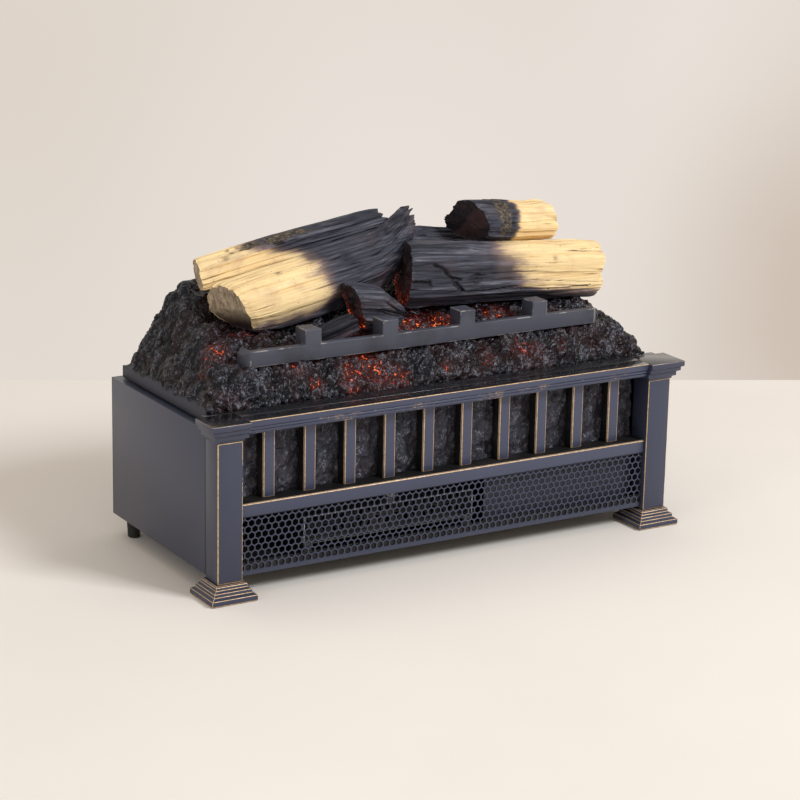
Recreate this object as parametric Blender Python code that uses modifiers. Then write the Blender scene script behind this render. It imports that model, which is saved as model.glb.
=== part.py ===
"""Electric log heater: a small steel fire basket with moulded logs and embers over a fan heater.

Metres, +Z up, +X to the right of someone who faces the front, the front at -Y. The origin is on the floor, in the
middle of the outer box. Setbacks are measured towards the back from the front faces of the corner posts."""

import math

import bmesh
import bpy
from mathutils import Matrix, Vector, noise
from mathutils.bvhtree import BVHTree

# Clearances and stock
SEAT_GAP = 0.0003
NOTCH_GAP = 0.0006
OVERRUN = 0.002
WELD = 0.000001
SCREW_MERGE = 0.0001
SHEET = 0.0010
ROUND_STEPS = 24
MIDDLE_STEPS = 16
SMALL_STEPS = 12
SQUARE_STEPS = 4

# Overall frame
BODY_WIDTH = 0.5015
BODY_DEPTH = 0.2267
BASE_CLEARANCE = 0.0204
FRAME_HEIGHT = 0.1705
CASING_DROP = 0.0120

# Corner posts, plinths and capitals
POST_SIDE = 0.0256
POST_WALL = 0.0012
PLINTH_HEIGHT = 0.0171
PLINTH_OVERHANG = 0.0105
PLINTH_PROFILE_SHARES = (
    (0.16, 1.0), (0.30, 0.94), (0.30, 0.77), (0.44, 0.72), (0.62, 0.67),
    (0.62, 0.47), (0.80, 0.41), (1.0, 0.35), (1.0, 0.06), (0.94, 0.0),
)
CAPITAL_HEIGHT = 0.0188
CAPITAL_OVERHANG = 0.00975
CAPITAL_INNER_OVERHANG = 0.004
CAPITAL_PROFILE_SHARES = (
    (0.96, 1.0), (1.0, 0.97), (1.0, 0.72), (0.80, 0.67), (0.74, 0.63), (0.74, 0.47),
    (0.50, 0.41), (0.42, 0.37), (0.42, 0.18), (0.14, 0.12), (0.08, 0.0),
)

# Casing
SIDE_FLANGE = 0.0130
PAN_WALL = 0.0110
PAN_FRONT_SETBACK = 0.0066
REAR_TOP_FLANGE = 0.0130
FOOT_RADIUS = 0.0070
FOOT_TAPER = 0.0010
FOOT_REAR_INSET = 0.0207
FOOT_INSET = 0.0125
SCREW_HEAD_RADIUS = 0.0034
SCREW_HEAD_HEIGHT = 0.0016
SCREW_SHANK_RADIUS = 0.0015
SCREW_LENGTH = 0.0060
SCREW_HOLE_RADIUS = 0.0019
SCREW_EDGE = 0.0080
SCREW_END_INSET = 0.0200

# Rails, slats, shelf and grille
TOP_RAIL_HEIGHT = 0.0135
TOP_RAIL_PROJECTION = 0.0045
TOP_RAIL_DEPTH = 0.0164
TOP_RAIL_PROFILE_SHARES = (
    (0.94, 1.0), (1.0, 0.97), (1.0, 0.56), (0.62, 0.50), (0.80, 0.46), (0.80, 0.33),
    (0.36, 0.28), (0.50, 0.24), (0.50, 0.10), (0.20, 0.05), (0.20, 0.0),
)
SHELF_DEPTH = 0.0205
SHELF_LEDGE = 0.0150
MID_RAIL_BOTTOM = 0.0774
MID_RAIL_HEIGHT = 0.0126
MID_RAIL_SETBACK = 0.0033
MID_RAIL_DEPTH = 0.0207
MID_RAIL_BACK_LIP = 0.0080
MID_RAIL_LOWER_LIP = 0.0060
MID_RAIL_EDGE = 0.0010
SLAT_COUNT = 10
SLAT_END_INSET = 0.03309
SLAT_WIDTH = 0.0132
SLAT_DEPTH = 0.0114
SLAT_SETBACK = 0.0122
SLAT_EDGE = 0.0012
GRILLE_SETBACK = 0.0053
GRILLE_LOWER_BAND = 0.0075
GRILLE_UPPER_BAND = 0.0030
GRILLE_END_BAND = 0.0060
GRILLE_PITCH = 0.01320
GRILLE_BAR = 0.0030

# Ember panel behind the slats
EMBER_PANEL_SETBACK = 0.0276
EMBER_PANEL_THICKNESS = 0.0020
EMBER_PANEL_RELIEF = 0.0022
EMBER_PANEL_COLUMNS = 26
EMBER_PANEL_ROWS = 4
EMBER_PANEL_COAL = 0.0200

# Ember bed
BED_END_INSET = 0.00775
BED_SETBACK = 0.0330
BED_REAR_INSET = 0.0067
BED_SKIRT = 0.0127
BED_WALL = 0.0022
BED_HEIGHT = 0.0840
BED_FRONT_STEP = 0.0315
BED_FRONT_RUN = 0.0170
BED_BACK_RUN = 0.0100
BED_END_RUN = 0.0545
BED_PLATEAU_SLOPE_SHARE = 0.33
BED_BLEND = 0.0050
BED_COLUMNS = 34
BED_END_COLUMNS = 5
BED_ROWS = 15
BED_FRONT_ROWS = 2
BED_BACK_ROWS = 1
BED_SEARCH_STEPS = 6
BED_SLOPE_STEP = 0.0020
BED_COAL_RELIEF = 0.0096
BED_SCATTER_SHARE = 0.22

# Grate
GRATE_END_INSET = 0.0460
GRATE_SETBACK = 0.0500
GRATE_LIFT = 0.0313
GRATE_BAR_HEIGHT = 0.0152
GRATE_THICKNESS = 0.0080
GRATE_RETURN = 0.0180
GRATE_CORNER = 0.0085
GRATE_EDGE = 0.0040
PRONG_WIDTH = 0.0172
PRONG_HEIGHT = 0.0142
PRONG_DEPTH = 0.0200
PRONG_PLACE_SHARES = (-0.64, -0.218, 0.218, 0.64)

# Logs: length, section depth and height, turn towards the back and rise in degrees
LOG_BARK_SHARE = 0.05
FRONT_LEFT_LOG_LENGTH = 0.2115
FRONT_LEFT_LOG_DEPTH = 0.0560
FRONT_LEFT_LOG_HEIGHT = 0.0600
FRONT_LEFT_LOG_TURN = 5.4
FRONT_LEFT_LOG_RISE = 8.3
REAR_LEFT_LOG_LENGTH = 0.2070
REAR_LEFT_LOG_DEPTH = 0.0440
REAR_LEFT_LOG_HEIGHT = 0.0340
REAR_LEFT_LOG_TURN = 0.8
REAR_LEFT_LOG_RISE = 9.2
FRONT_RIGHT_LOG_LENGTH = 0.2210
FRONT_RIGHT_LOG_DEPTH = 0.0620
FRONT_RIGHT_LOG_HEIGHT = 0.0670
FRONT_RIGHT_LOG_TURN = -1.0
FRONT_RIGHT_LOG_RISE = -3.9
REAR_CHARRED_LOG_LENGTH = 0.1300
REAR_CHARRED_LOG_DEPTH = 0.0360
REAR_CHARRED_LOG_HEIGHT = 0.0560
REAR_CHARRED_LOG_TURN = 1.0
REAR_CHARRED_LOG_RISE = -8.0
STUB_LOG_LENGTH = 0.1000
STUB_LOG_DEPTH = 0.0500
STUB_LOG_HEIGHT = 0.0480
STUB_LOG_TURN = 1.6
STUB_LOG_RISE = -5.4
CHUNK_LENGTH = 0.0540
CHUNK_DEPTH = 0.0320
CHUNK_HEIGHT = 0.0480
CHUNK_TURN = -3.0
CHUNK_RISE = -9.0
WEDGE_LENGTH = 0.0480
WEDGE_DEPTH = 0.0220
WEDGE_HEIGHT = 0.0220
WEDGE_TURN = 3.0
WEDGE_RISE = 15.0

# Lower chamber: duct, heating element, blower
DUCT_LEFT_INSET = 0.07515
DUCT_RIGHT_INSET = 0.18915
DUCT_SETBACK = 0.0220
DUCT_DEPTH = 0.0397
DUCT_BOTTOM = 0.0337
DUCT_HEIGHT = 0.0275
DUCT_LEG_WIDTH = 0.0100
BAFFLE_GAP = 0.0120
BAFFLE_END_INSET = 0.00315
BAFFLE_SETBACK = 0.0205
BAFFLE_TOP = 0.0760
BAFFLE_FOOT = 0.0080
CORE_GAP = 0.0005
CORE_SETBACK = 0.0340
CORE_DEPTH = 0.0160
CORE_BAR = 0.0022
CORE_FIN = 0.0010
CORE_FINS = 18
BLOWER_SETBACK = 0.1300
BLOWER_HEIGHT = 0.0530
ROTOR_RADIUS = 0.0190
ROTOR_DISC = 0.0016
ROTOR_END_GAP = 0.0030
ROTOR_BLADES = 16
ROTOR_BLADE = 0.0009
ROTOR_BLADE_DEPTH = 0.0058
ROTOR_BLADE_LEAN = 34.0
SHAFT_RADIUS = 0.0024
SHAFT_STUB = 0.0025
SHAFT_FIT = 0.0001
SCROLL_WALL = 0.0012
SCROLL_GAP = 0.0028
SCROLL_END_MARGIN = 0.0026
SCROLL_REAR_ANGLE = 38.0
SCROLL_TONGUE_ANGLE = 158.0
SCROLL_TONGUE_LIP = 0.0080
BUSH_RADIUS = 0.0050
BUSH_FLANGE_RADIUS = 0.0085
BUSH_FLANGE = 0.0020
BUSH_DEPTH = 0.0016
MOTOR_RADIUS = 0.0230
MOTOR_LENGTH = 0.0270
MOTOR_BOSS_RADIUS = 0.0046
MOTOR_REAR_BOSS = 0.0040
CUTOUT_RADIUS = 0.0070
CUTOUT_HEIGHT = 0.0050
CUTOUT_CAP = 0.0020
BOARD_END_INSET = 0.05075
BOARD_WIDTH = 0.0780
BOARD_SETBACK = 0.1100
BOARD_DEPTH = 0.0580
BOARD_THICKNESS = 0.0016
BOARD_STANDOFF = 0.0070
BOARD_STANDOFF_WIDTH = 0.0060
RELAY_WIDTH = 0.0200
RELAY_DEPTH = 0.0160
RELAY_HEIGHT = 0.0150
TERMINAL_END_INSET = 0.05675
TERMINAL_WIDTH = 0.0420
TERMINAL_SETBACK = 0.1920
TERMINAL_DEPTH = 0.0190
TERMINAL_HEIGHT = 0.0170
TERMINAL_SLOT = 0.0060

# Upper chamber: divider, lamps and flame movement
DIVIDER_BOTTOM = 0.0840
DIVIDER_FLANGE = 0.0090
LAMP_BOARD_END_INSET = 0.06075
LAMP_BOARD_DEPTH = 0.0140
LAMP_BOARD_SETBACK = 0.0500
LAMP_BOARD_THICKNESS = 0.0016
LAMP_COUNT = 10
LAMP_SIDE = 0.0052
LAMP_HEIGHT = 0.0016
SPINDLE_SETBACK = 0.1000
SPINDLE_HEIGHT = 0.1180
SPINDLE_RADIUS = 0.0025
SPINDLE_LEFT_INSET = 0.06075
SPINDLE_RIGHT_INSET = 0.10075
SPINDLE_TAIL = 0.0080
PADDLE_COUNT = 9
PADDLE_WIDTH = 0.0180
PADDLE_REACH = 0.0220
PADDLE_THICKNESS = 0.0010
PADDLE_TURN = 50.0
FLICKER_MOTOR_RADIUS = 0.0245
FLICKER_MOTOR_DEPTH = 0.0150
FLICKER_MOTOR_BOSS = 0.0050
BRACKET_SHEET = 0.0015
BRACKET_WIDTH = 0.0580
BRACKET_FOOT = 0.0180
BEARING_BRACKET_WIDTH = 0.0240

# Rear panel fittings
VENT_COUNT = 18
VENT_PITCH = 0.0100
VENT_WIDTH = 0.0038
VENT_HEIGHT = 0.0340
VENT_BOTTOM = 0.0380
UPPER_VENT_DROP = 0.0175
UPPER_VENT_HEIGHT = 0.0160
UPPER_VENT_COUNT = 10
GLAND_END_INSET = 0.05075
GLAND_HEIGHT = 0.0450
GLAND_NECK_RADIUS = 0.0062
GLAND_HOLE_RADIUS = 0.0066
GLAND_FLANGE_RADIUS = 0.0092
GLAND_FLANGE = 0.0030
GLAND_PROUD = 0.0070
GLAND_NOSE_RADIUS = 0.0060
GLAND_NUT = 0.0030
GLAND_BORE_RADIUS = 0.0034
SWITCH_PLATE_END_INSET = 0.02875
SWITCH_PLATE_WIDTH = 0.0780
SWITCH_PLATE_HEIGHT = 0.0320
SWITCH_PLATE_PROUD = 0.0022
SWITCH_PLATE_RIM = 0.0030
SWITCH_BOX_DEPTH = 0.0140
SWITCH_BOX_WALL = 0.0012
SWITCH_FIT = 0.0005
ROCKER_COUNT = 3
ROCKER_PITCH = 0.0225
ROCKER_WIDTH = 0.0120
ROCKER_REACH = 0.0094
ROCKER_PROUD = 0.0034
ROCKER_DISH = 0.0020
ROCKER_DEPTH = 0.0052
ROCKER_TRAVEL = 9.0
ROCKER_SIDE_GAP = 0.0003
ROCKER_END_GAP = 0.0004
ROCKER_ARC_POINTS = 4

# Places that the sizes above give
FRONT_Y = PLINTH_OVERHANG - (PLINTH_OVERHANG + BODY_DEPTH + GLAND_PROUD) / 2
REAR_Y = FRONT_Y + BODY_DEPTH
HALF_WIDTH = BODY_WIDTH / 2
POST_INNER_X = HALF_WIDTH - POST_SIDE
POST_CENTRE_X = HALF_WIDTH - POST_SIDE / 2
CAPITAL_INNER_X = POST_INNER_X - CAPITAL_INNER_OVERHANG
CASING_TOP = FRAME_HEIGHT - CASING_DROP
SIDE_FRONT_SETBACK = POST_SIDE + SEAT_GAP
SIDE_REAR_SETBACK = BODY_DEPTH - SHEET - SEAT_GAP
FLANGE_INNER_X = HALF_WIDTH - SHEET - SIDE_FLANGE
PAN_BOTTOM = BASE_CLEARANCE + SHEET + SEAT_GAP
PAN_FLOOR = PAN_BOTTOM + SHEET
PAN_SEAT = PAN_FLOOR + SEAT_GAP
CHAMBER_FRONT_SETBACK = SIDE_FRONT_SETBACK + SHEET + SEAT_GAP
CHAMBER_REAR_SETBACK = SIDE_REAR_SETBACK - SHEET - SEAT_GAP
CHAMBER_HALF_WIDTH = HALF_WIDTH - SHEET - SEAT_GAP
SHELF_FRONT_SETBACK = TOP_RAIL_DEPTH - TOP_RAIL_PROJECTION + SEAT_GAP
SHELF_REAR_SETBACK = SHELF_FRONT_SETBACK + SHELF_DEPTH
DIVIDER_TOP = DIVIDER_BOTTOM + SHEET
DIVIDER_SEAT = DIVIDER_TOP + SEAT_GAP
UPPER_VENT_BOTTOM = CASING_TOP - UPPER_VENT_DROP - UPPER_VENT_HEIGHT
SWITCH_PLATE_BOTTOM = (DIVIDER_TOP + CASING_TOP - SWITCH_PLATE_HEIGHT) / 2
BED_WIDTH = BODY_WIDTH - 2 * BED_END_INSET
BED_DEPTH = BODY_DEPTH - BED_SETBACK - BED_REAR_INSET
BED_SEAT = CASING_TOP + SEAT_GAP
BED_BASE = BED_SEAT + BED_SKIRT
GRATE_BOTTOM = BED_BASE + GRATE_LIFT
SLAT_PITCH = 2 * (POST_INNER_X - SLAT_END_INSET) / (SLAT_COUNT - 1)
GRATE_LENGTH = BED_WIDTH - 2 * GRATE_END_INSET
DUCT_LEFT = POST_INNER_X - DUCT_LEFT_INSET
DUCT_RIGHT = POST_INNER_X - DUCT_RIGHT_INSET
DUCT_WIDTH = DUCT_LEFT + DUCT_RIGHT
BAFFLE_LEFT = DUCT_RIGHT + BAFFLE_GAP
BAFFLE_WIDTH = POST_INNER_X - BAFFLE_END_INSET - BAFFLE_LEFT
BOARD_LEFT = HALF_WIDTH - BOARD_END_INSET - BOARD_WIDTH
TERMINAL_LEFT = HALF_WIDTH - TERMINAL_END_INSET - TERMINAL_WIDTH
LAMP_BOARD_WIDTH = BODY_WIDTH - 2 * LAMP_BOARD_END_INSET
SPINDLE_LEFT = HALF_WIDTH - SPINDLE_LEFT_INSET
SPINDLE_LENGTH = BODY_WIDTH - SPINDLE_LEFT_INSET - SPINDLE_RIGHT_INSET
VENT_CENTRE = (DUCT_RIGHT - DUCT_LEFT) / 2
GLAND_PLACE = HALF_WIDTH - GLAND_END_INSET
SWITCH_PLATE_LEFT = HALF_WIDTH - SWITCH_PLATE_END_INSET - SWITCH_PLATE_WIDTH
DUCT_REAR_SETBACK = DUCT_SETBACK + DUCT_DEPTH
SCROLL_FRONT_SETBACK = DUCT_REAR_SETBACK + SEAT_GAP

# Finishes, as linear colour, roughness and metallic share
PAINTED_STEEL = ((0.068, 0.072, 0.092), 0.42, 0.6)
BLACK_GLOSS = ((0.012, 0.012, 0.015), 0.22, 0.3)
BARE_STEEL = ((0.52, 0.53, 0.54), 0.34, 1.0)
GREY_STEEL = ((0.26, 0.26, 0.27), 0.45, 0.9)
GRATE_IRON = ((0.060, 0.064, 0.078), 0.58, 0.4)
COAL = ((0.020, 0.019, 0.024), 0.48, 0.0)
GLOWING_COAL = ((0.090, 0.018, 0.010), 0.45, 0.0)
WOOD = ((0.62, 0.42, 0.19), 0.78, 0.0)
CHAR = ((0.045, 0.043, 0.052), 0.72, 0.0)
RUBBER = ((0.015, 0.015, 0.015), 0.85, 0.0)
BLACK_PLASTIC = ((0.018, 0.018, 0.019), 0.45, 0.0)
WHITE_PLASTIC = ((0.72, 0.72, 0.70), 0.5, 0.0)
GREEN_BOARD = ((0.020, 0.110, 0.045), 0.45, 0.0)
CERAMIC = ((0.62, 0.58, 0.50), 0.7, 0.0)
ALUMINIUM = ((0.66, 0.67, 0.68), 0.3, 1.0)


# Scene, collections and materials
def clear_scene():
    for obj in list(bpy.data.objects):
        bpy.data.objects.remove(obj, do_unlink=True)


def new_collection(name):
    collection = bpy.data.collections.new(name)
    bpy.context.scene.collection.children.link(collection)
    return collection


def finish_material(name, finish):
    colour, roughness, metallic = finish
    material = bpy.data.materials.new(name)
    material.use_nodes = True
    shader = material.node_tree.nodes["Principled BSDF"]
    shader.inputs["Base Color"].default_value = (*colour, 1)
    shader.inputs["Roughness"].default_value = roughness
    shader.inputs["Metallic"].default_value = metallic
    return material


clear_scene()
PARTS = new_collection("electric_log_heater")
CUTTERS = new_collection("electric_log_heater_cutters")
ROOT = bpy.data.objects.new("heater_root", None)
PARTS.objects.link(ROOT)


def keep(obj, name, finish, parent=ROOT, smooth=False):
    """Names a finished sub-part and gives it its material and its parent, without moving it."""
    obj.name = name
    obj.data.name = name
    obj.data.materials.clear()
    obj.data.materials.append(finish_material(name + "_finish", finish))
    obj.parent = parent
    obj.matrix_parent_inverse = parent.matrix_basis.inverted()
    if smooth:
        obj.data.shade_smooth()
        obj.data.set_sharp_from_angle(angle=math.radians(35))
    return obj


def link(obj):
    PARTS.objects.link(obj)
    return obj


def empty(name, place):
    marker = link(bpy.data.objects.new(name, None))
    marker.location = place
    marker.parent = ROOT
    return marker


def at(setback):
    return FRONT_Y + setback


# Basic shapes
def mesh_object(name, build):
    mesh = bpy.data.meshes.new(name)
    shape = bmesh.new()
    build(shape)
    shape.to_mesh(mesh)
    shape.free()
    return link(bpy.data.objects.new(name, mesh))


def box(low, high):
    low = Vector(low)
    high = Vector(high)

    def build(shape):
        bmesh.ops.create_cube(shape, size=1)
        bmesh.ops.scale(shape, vec=high - low, verts=shape.verts)

    obj = mesh_object("box", build)
    obj.location = (low + high) / 2
    return obj


def boxes(pairs):
    """Several boxes that don't touch, in one mesh."""

    def build(shape):
        for low, high in pairs:
            made = bmesh.ops.create_cube(shape, size=1)["verts"]
            bmesh.ops.scale(shape, vec=Vector(high) - Vector(low), verts=made)
            bmesh.ops.translate(shape, vec=(Vector(low) + Vector(high)) / 2, verts=made)

    return mesh_object("boxes", build)


def rod(start, end, radius, steps=SMALL_STEPS):
    start = Vector(start)
    end = Vector(end)

    def build(shape):
        bmesh.ops.create_cone(
            shape, cap_ends=True, segments=steps, radius1=radius, radius2=radius, depth=(end - start).length
        )

    obj = mesh_object("rod", build)
    obj.rotation_mode = "QUATERNION"
    obj.rotation_quaternion = (end - start).to_track_quat("Z", "Y")
    obj.location = (start + end) / 2
    return obj


def turned(profile, steps=ROUND_STEPS, closed=False):
    """A profile of (radius, height), run down its outer side and turned about Z."""
    mesh = bpy.data.meshes.new("turned")
    edges = [(i, i + 1) for i in range(len(profile) - 1)]
    if closed:
        edges.append((len(profile) - 1, 0))
    mesh.from_pydata([(radius, 0, height) for radius, height in profile], edges, [])
    obj = link(bpy.data.objects.new("turned", mesh))
    screw = obj.modifiers.new("turn", "SCREW")
    screw.steps = steps
    screw.render_steps = steps
    screw.use_merge_vertices = True
    screw.merge_threshold = SCREW_MERGE
    screw.use_smooth_shade = steps > SQUARE_STEPS
    return obj


TURN_TO_X = (0, math.radians(90), 0)
TURN_TO_BACK = (math.radians(-90), 0, 0)
PLANES = {"xy": (0, 0, 0), "xz": (math.radians(90), 0, 0), "yz": (math.radians(90), 0, math.radians(90))}


def plate(loops, thickness, place, plane="xy"):
    """A flat outline, with any further loops as holes, and its thickness centred on its place."""
    curve = bpy.data.curves.new("plate", "CURVE")
    curve.dimensions = "2D"
    curve.fill_mode = "BOTH"
    curve.extrude = thickness / 2
    for loop in loops:
        spline = curve.splines.new("POLY")
        spline.points.add(len(loop) - 1)
        for point, (across, up) in zip(spline.points, loop):
            point.co = (across, up, 0, 1)
        spline.use_cyclic_u = True
        spline.use_smooth = False
    obj = link(bpy.data.objects.new("plate", curve))
    obj.location = place
    obj.rotation_euler = PLANES[plane]
    return obj


def solid(curve):
    """A curve object made a closed mesh, so that it can be cut or joined."""
    bpy.context.view_layer.update()
    graph = bpy.context.evaluated_depsgraph_get()
    mesh = bpy.data.meshes.new_from_object(curve.evaluated_get(graph))
    shape = bmesh.new()
    shape.from_mesh(mesh)
    bmesh.ops.remove_doubles(shape, verts=shape.verts, dist=WELD)
    shape.to_mesh(mesh)
    shape.free()
    obj = link(bpy.data.objects.new("solid", mesh))
    obj.matrix_world = curve.matrix_world.copy()
    bpy.data.objects.remove(curve, do_unlink=True)
    return obj


def rectangle(left, bottom, right, top):
    return [(left, bottom), (right, bottom), (right, top), (left, top)]


def circle(across, up, radius, steps=SMALL_STEPS):
    turns = [2 * math.pi * step / steps for step in range(steps)]
    return [(across + radius * math.cos(turn), up + radius * math.sin(turn)) for turn in turns]


def arc(across, up, radius, start, end, steps):
    turns = [math.radians(start + (end - start) * step / steps) for step in range(steps + 1)]
    return [(across + radius * math.cos(turn), up + radius * math.sin(turn)) for turn in turns]


def boolean(obj, other, operation):
    modifier = obj.modifiers.new(operation.lower(), "BOOLEAN")
    modifier.operation = operation
    modifier.object = other
    other.hide_render = True
    other.display_type = "WIRE"
    if other.name in PARTS.objects:
        PARTS.objects.unlink(other)
        CUTTERS.objects.link(other)
    return obj


def cut(obj, *others):
    for other in others:
        boolean(obj, other, "DIFFERENCE")
    return obj


def join(obj, *others):
    for other in others:
        boolean(obj, other, "UNION")
    return obj


# Posts, plinths and capitals
def moulding_profile(shares, overhang, height, bottom):
    """The corner radius and height of a square moulding that steps out from a post."""
    corner = math.sqrt(2)
    profile = [(0, bottom + height)]
    for out_share, up_share in shares:
        profile.append((corner * (POST_SIDE / 2 + overhang * out_share), bottom + height * up_share))
    return profile + [(0, bottom)]


def square_moulding(shares, overhang, height, bottom, side):
    obj = turned(moulding_profile(shares, overhang, height, bottom), steps=SQUARE_STEPS)
    obj.location = (side * POST_CENTRE_X, at(POST_SIDE / 2), 0)
    obj.rotation_euler = (0, 0, math.radians(45))
    return obj


def make_post(name, side):
    outer = POST_SIDE / 2
    inner = outer - POST_WALL
    height = FRAME_HEIGHT - CAPITAL_HEIGHT - PLINTH_HEIGHT - 2 * SEAT_GAP
    middle = PLINTH_HEIGHT + SEAT_GAP + height / 2
    loops = [rectangle(-outer, -outer, outer, outer), rectangle(-inner, -inner, inner, inner)]
    post = plate(loops, height, (side * POST_CENTRE_X, at(POST_SIDE / 2), middle))
    keep(post, name, PAINTED_STEEL)


def make_plinth(name, side):
    plinth = square_moulding(PLINTH_PROFILE_SHARES, PLINTH_OVERHANG, PLINTH_HEIGHT, 0, side)
    keep(plinth, name, PAINTED_STEEL)


def make_capital(name, side):
    bottom = FRAME_HEIGHT - CAPITAL_HEIGHT
    capital = square_moulding(CAPITAL_PROFILE_SHARES, CAPITAL_OVERHANG, CAPITAL_HEIGHT, bottom, side)
    reach = POST_SIDE + 2 * CAPITAL_OVERHANG
    low = bottom - OVERRUN
    high = FRAME_HEIGHT + OVERRUN
    inner = side * CAPITAL_INNER_X
    inside = sorted((inner, inner - side * reach))
    behind = sorted((inner - side * reach, inner + side * 2 * reach))
    inner_cut = box((inside[0], at(-reach), low), (inside[1], at(2 * reach), high))
    back_cut = box((behind[0], at(POST_SIDE), low), (behind[1], at(2 * reach), high))
    keep(cut(capital, inner_cut, back_cut), name, PAINTED_STEEL)


# Casing
def make_side_panel(name, side):
    outer = side * HALF_WIDTH
    inner = side * FLANGE_INNER_X
    wall = side * (HALF_WIDTH - SHEET)
    low_x, high_x = sorted((outer, inner))
    panel = box((low_x, at(SIDE_FRONT_SETBACK), BASE_CLEARANCE), (high_x, at(SIDE_REAR_SETBACK), CASING_TOP))
    low_x, high_x = sorted((wall, inner - side * OVERRUN))
    pocket = box(
        (low_x, at(SIDE_FRONT_SETBACK + SHEET), BASE_CLEARANCE + SHEET),
        (high_x, at(SIDE_REAR_SETBACK - SHEET), CASING_TOP - SHEET),
    )
    cut(panel, pocket)
    for height in screw_heights():
        place = side * screw_x()
        start = (place, at(SIDE_REAR_SETBACK - SHEET - OVERRUN), height)
        end = (place, at(SIDE_REAR_SETBACK + OVERRUN), height)
        cut(panel, rod(start, end, SCREW_HOLE_RADIUS))
    keep(panel, name, PAINTED_STEEL)


def notched_block(inset, bottom, top):
    """The pan's outer or inner form: a wide block, and a narrower one that reaches forward between the posts."""
    wide = CHAMBER_HALF_WIDTH - inset
    narrow = POST_INNER_X - SEAT_GAP - inset
    rear = at(CHAMBER_REAR_SETBACK) - inset
    block = box((-wide, at(CHAMBER_FRONT_SETBACK) + inset, bottom), (wide, rear, top))
    return join(block, box((-narrow, at(PAN_FRONT_SETBACK) + inset, bottom), (narrow, rear - SIDE_FLANGE, top)))


def make_base_pan():
    pan = notched_block(0, PAN_BOTTOM, PAN_BOTTOM + PAN_WALL)
    pocket = notched_block(SHEET, PAN_FLOOR, PAN_BOTTOM + PAN_WALL + OVERRUN)
    keep(cut(pan, pocket), "base_pan", GREY_STEEL)


def screw_x():
    return HALF_WIDTH - SCREW_EDGE


def screw_heights():
    return (BASE_CLEARANCE + SCREW_END_INSET, CASING_TOP - SCREW_END_INSET)


def vent_slots(count, bottom, height):
    first = VENT_CENTRE - VENT_PITCH * (count - 1) / 2
    lefts = [first + VENT_PITCH * step - VENT_WIDTH / 2 for step in range(count)]
    front = REAR_Y - SHEET - OVERRUN
    rear = REAR_Y + OVERRUN
    return boxes([((left, front, bottom), (left + VENT_WIDTH, rear, bottom + height)) for left in lefts])


def switch_block(inset, front, rear):
    """The switch plate's outline drawn in by an inset, between two depths."""
    right = SWITCH_PLATE_LEFT + SWITCH_PLATE_WIDTH
    top = SWITCH_PLATE_BOTTOM + SWITCH_PLATE_HEIGHT
    low = (SWITCH_PLATE_LEFT + inset, front, SWITCH_PLATE_BOTTOM + inset)
    return box(low, (right - inset, rear, top - inset))


def make_rear_panel():
    front = REAR_Y - SHEET
    panel = box((-HALF_WIDTH, front, BASE_CLEARANCE), (HALF_WIDTH, REAR_Y, CASING_TOP))
    before = front - OVERRUN
    after = REAR_Y + OVERRUN
    for x in (-screw_x(), screw_x()):
        for z in screw_heights():
            cut(panel, rod((x, before, z), (x, after, z), SCREW_HOLE_RADIUS))
    gland_line = ((GLAND_PLACE, before, GLAND_HEIGHT), (GLAND_PLACE, after, GLAND_HEIGHT))
    cut(panel, rod(*gland_line, GLAND_HOLE_RADIUS, MIDDLE_STEPS))
    cut(panel, switch_block(SWITCH_PLATE_RIM - SWITCH_FIT, before, after))
    cut(panel, vent_slots(VENT_COUNT, VENT_BOTTOM, VENT_HEIGHT))
    cut(panel, vent_slots(UPPER_VENT_COUNT, UPPER_VENT_BOTTOM, UPPER_VENT_HEIGHT))
    flange_half = FLANGE_INNER_X - SEAT_GAP
    flange = box(
        (-flange_half, REAR_Y - REAR_TOP_FLANGE, CASING_TOP - SHEET),
        (flange_half, REAR_Y - SHEET / 2, CASING_TOP),
    )
    keep(join(panel, flange), "rear_panel", PAINTED_STEEL)


def make_foot(name, side):
    top = BASE_CLEARANCE - SEAT_GAP
    base_radius = FOOT_RADIUS - FOOT_TAPER
    profile = [(0, top), (FOOT_RADIUS, top), (base_radius, FOOT_TAPER), (base_radius - FOOT_TAPER, 0), (0, 0)]
    foot = turned(profile, steps=MIDDLE_STEPS)
    foot.location = (side * (HALF_WIDTH - FOOT_INSET), REAR_Y - FOOT_REAR_INSET, 0)
    keep(foot, name, RUBBER, smooth=True)


def make_screw(name, x, height):
    dome = SCREW_HEAD_HEIGHT / 2
    profile = [
        (0, SCREW_HEAD_HEIGHT), (SCREW_HEAD_RADIUS / 2, SCREW_HEAD_HEIGHT), (SCREW_HEAD_RADIUS, dome),
        (SCREW_HEAD_RADIUS, 0), (SCREW_SHANK_RADIUS, 0), (SCREW_SHANK_RADIUS, -SCREW_LENGTH), (0, -SCREW_LENGTH),
    ]
    screw = turned(profile, steps=SMALL_STEPS)
    screw.location = (x, REAR_Y + SEAT_GAP, height)
    screw.rotation_euler = TURN_TO_BACK
    keep(screw, name, BARE_STEEL, smooth=True)


# Rails, shelf, slats and grille
def make_top_rail():
    bottom = FRAME_HEIGHT - TOP_RAIL_HEIGHT
    front = [
        (at(-TOP_RAIL_PROJECTION * out_share), bottom + TOP_RAIL_HEIGHT * up_share)
        for out_share, up_share in TOP_RAIL_PROFILE_SHARES
    ]
    back = at(TOP_RAIL_DEPTH - TOP_RAIL_PROJECTION)
    length = 2 * (CAPITAL_INNER_X - SEAT_GAP)
    outline = front + [(back, bottom), (back, FRAME_HEIGHT)]
    keep(plate([outline], length, (0, 0, 0), "yz"), "top_rail", PAINTED_STEEL)


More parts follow.
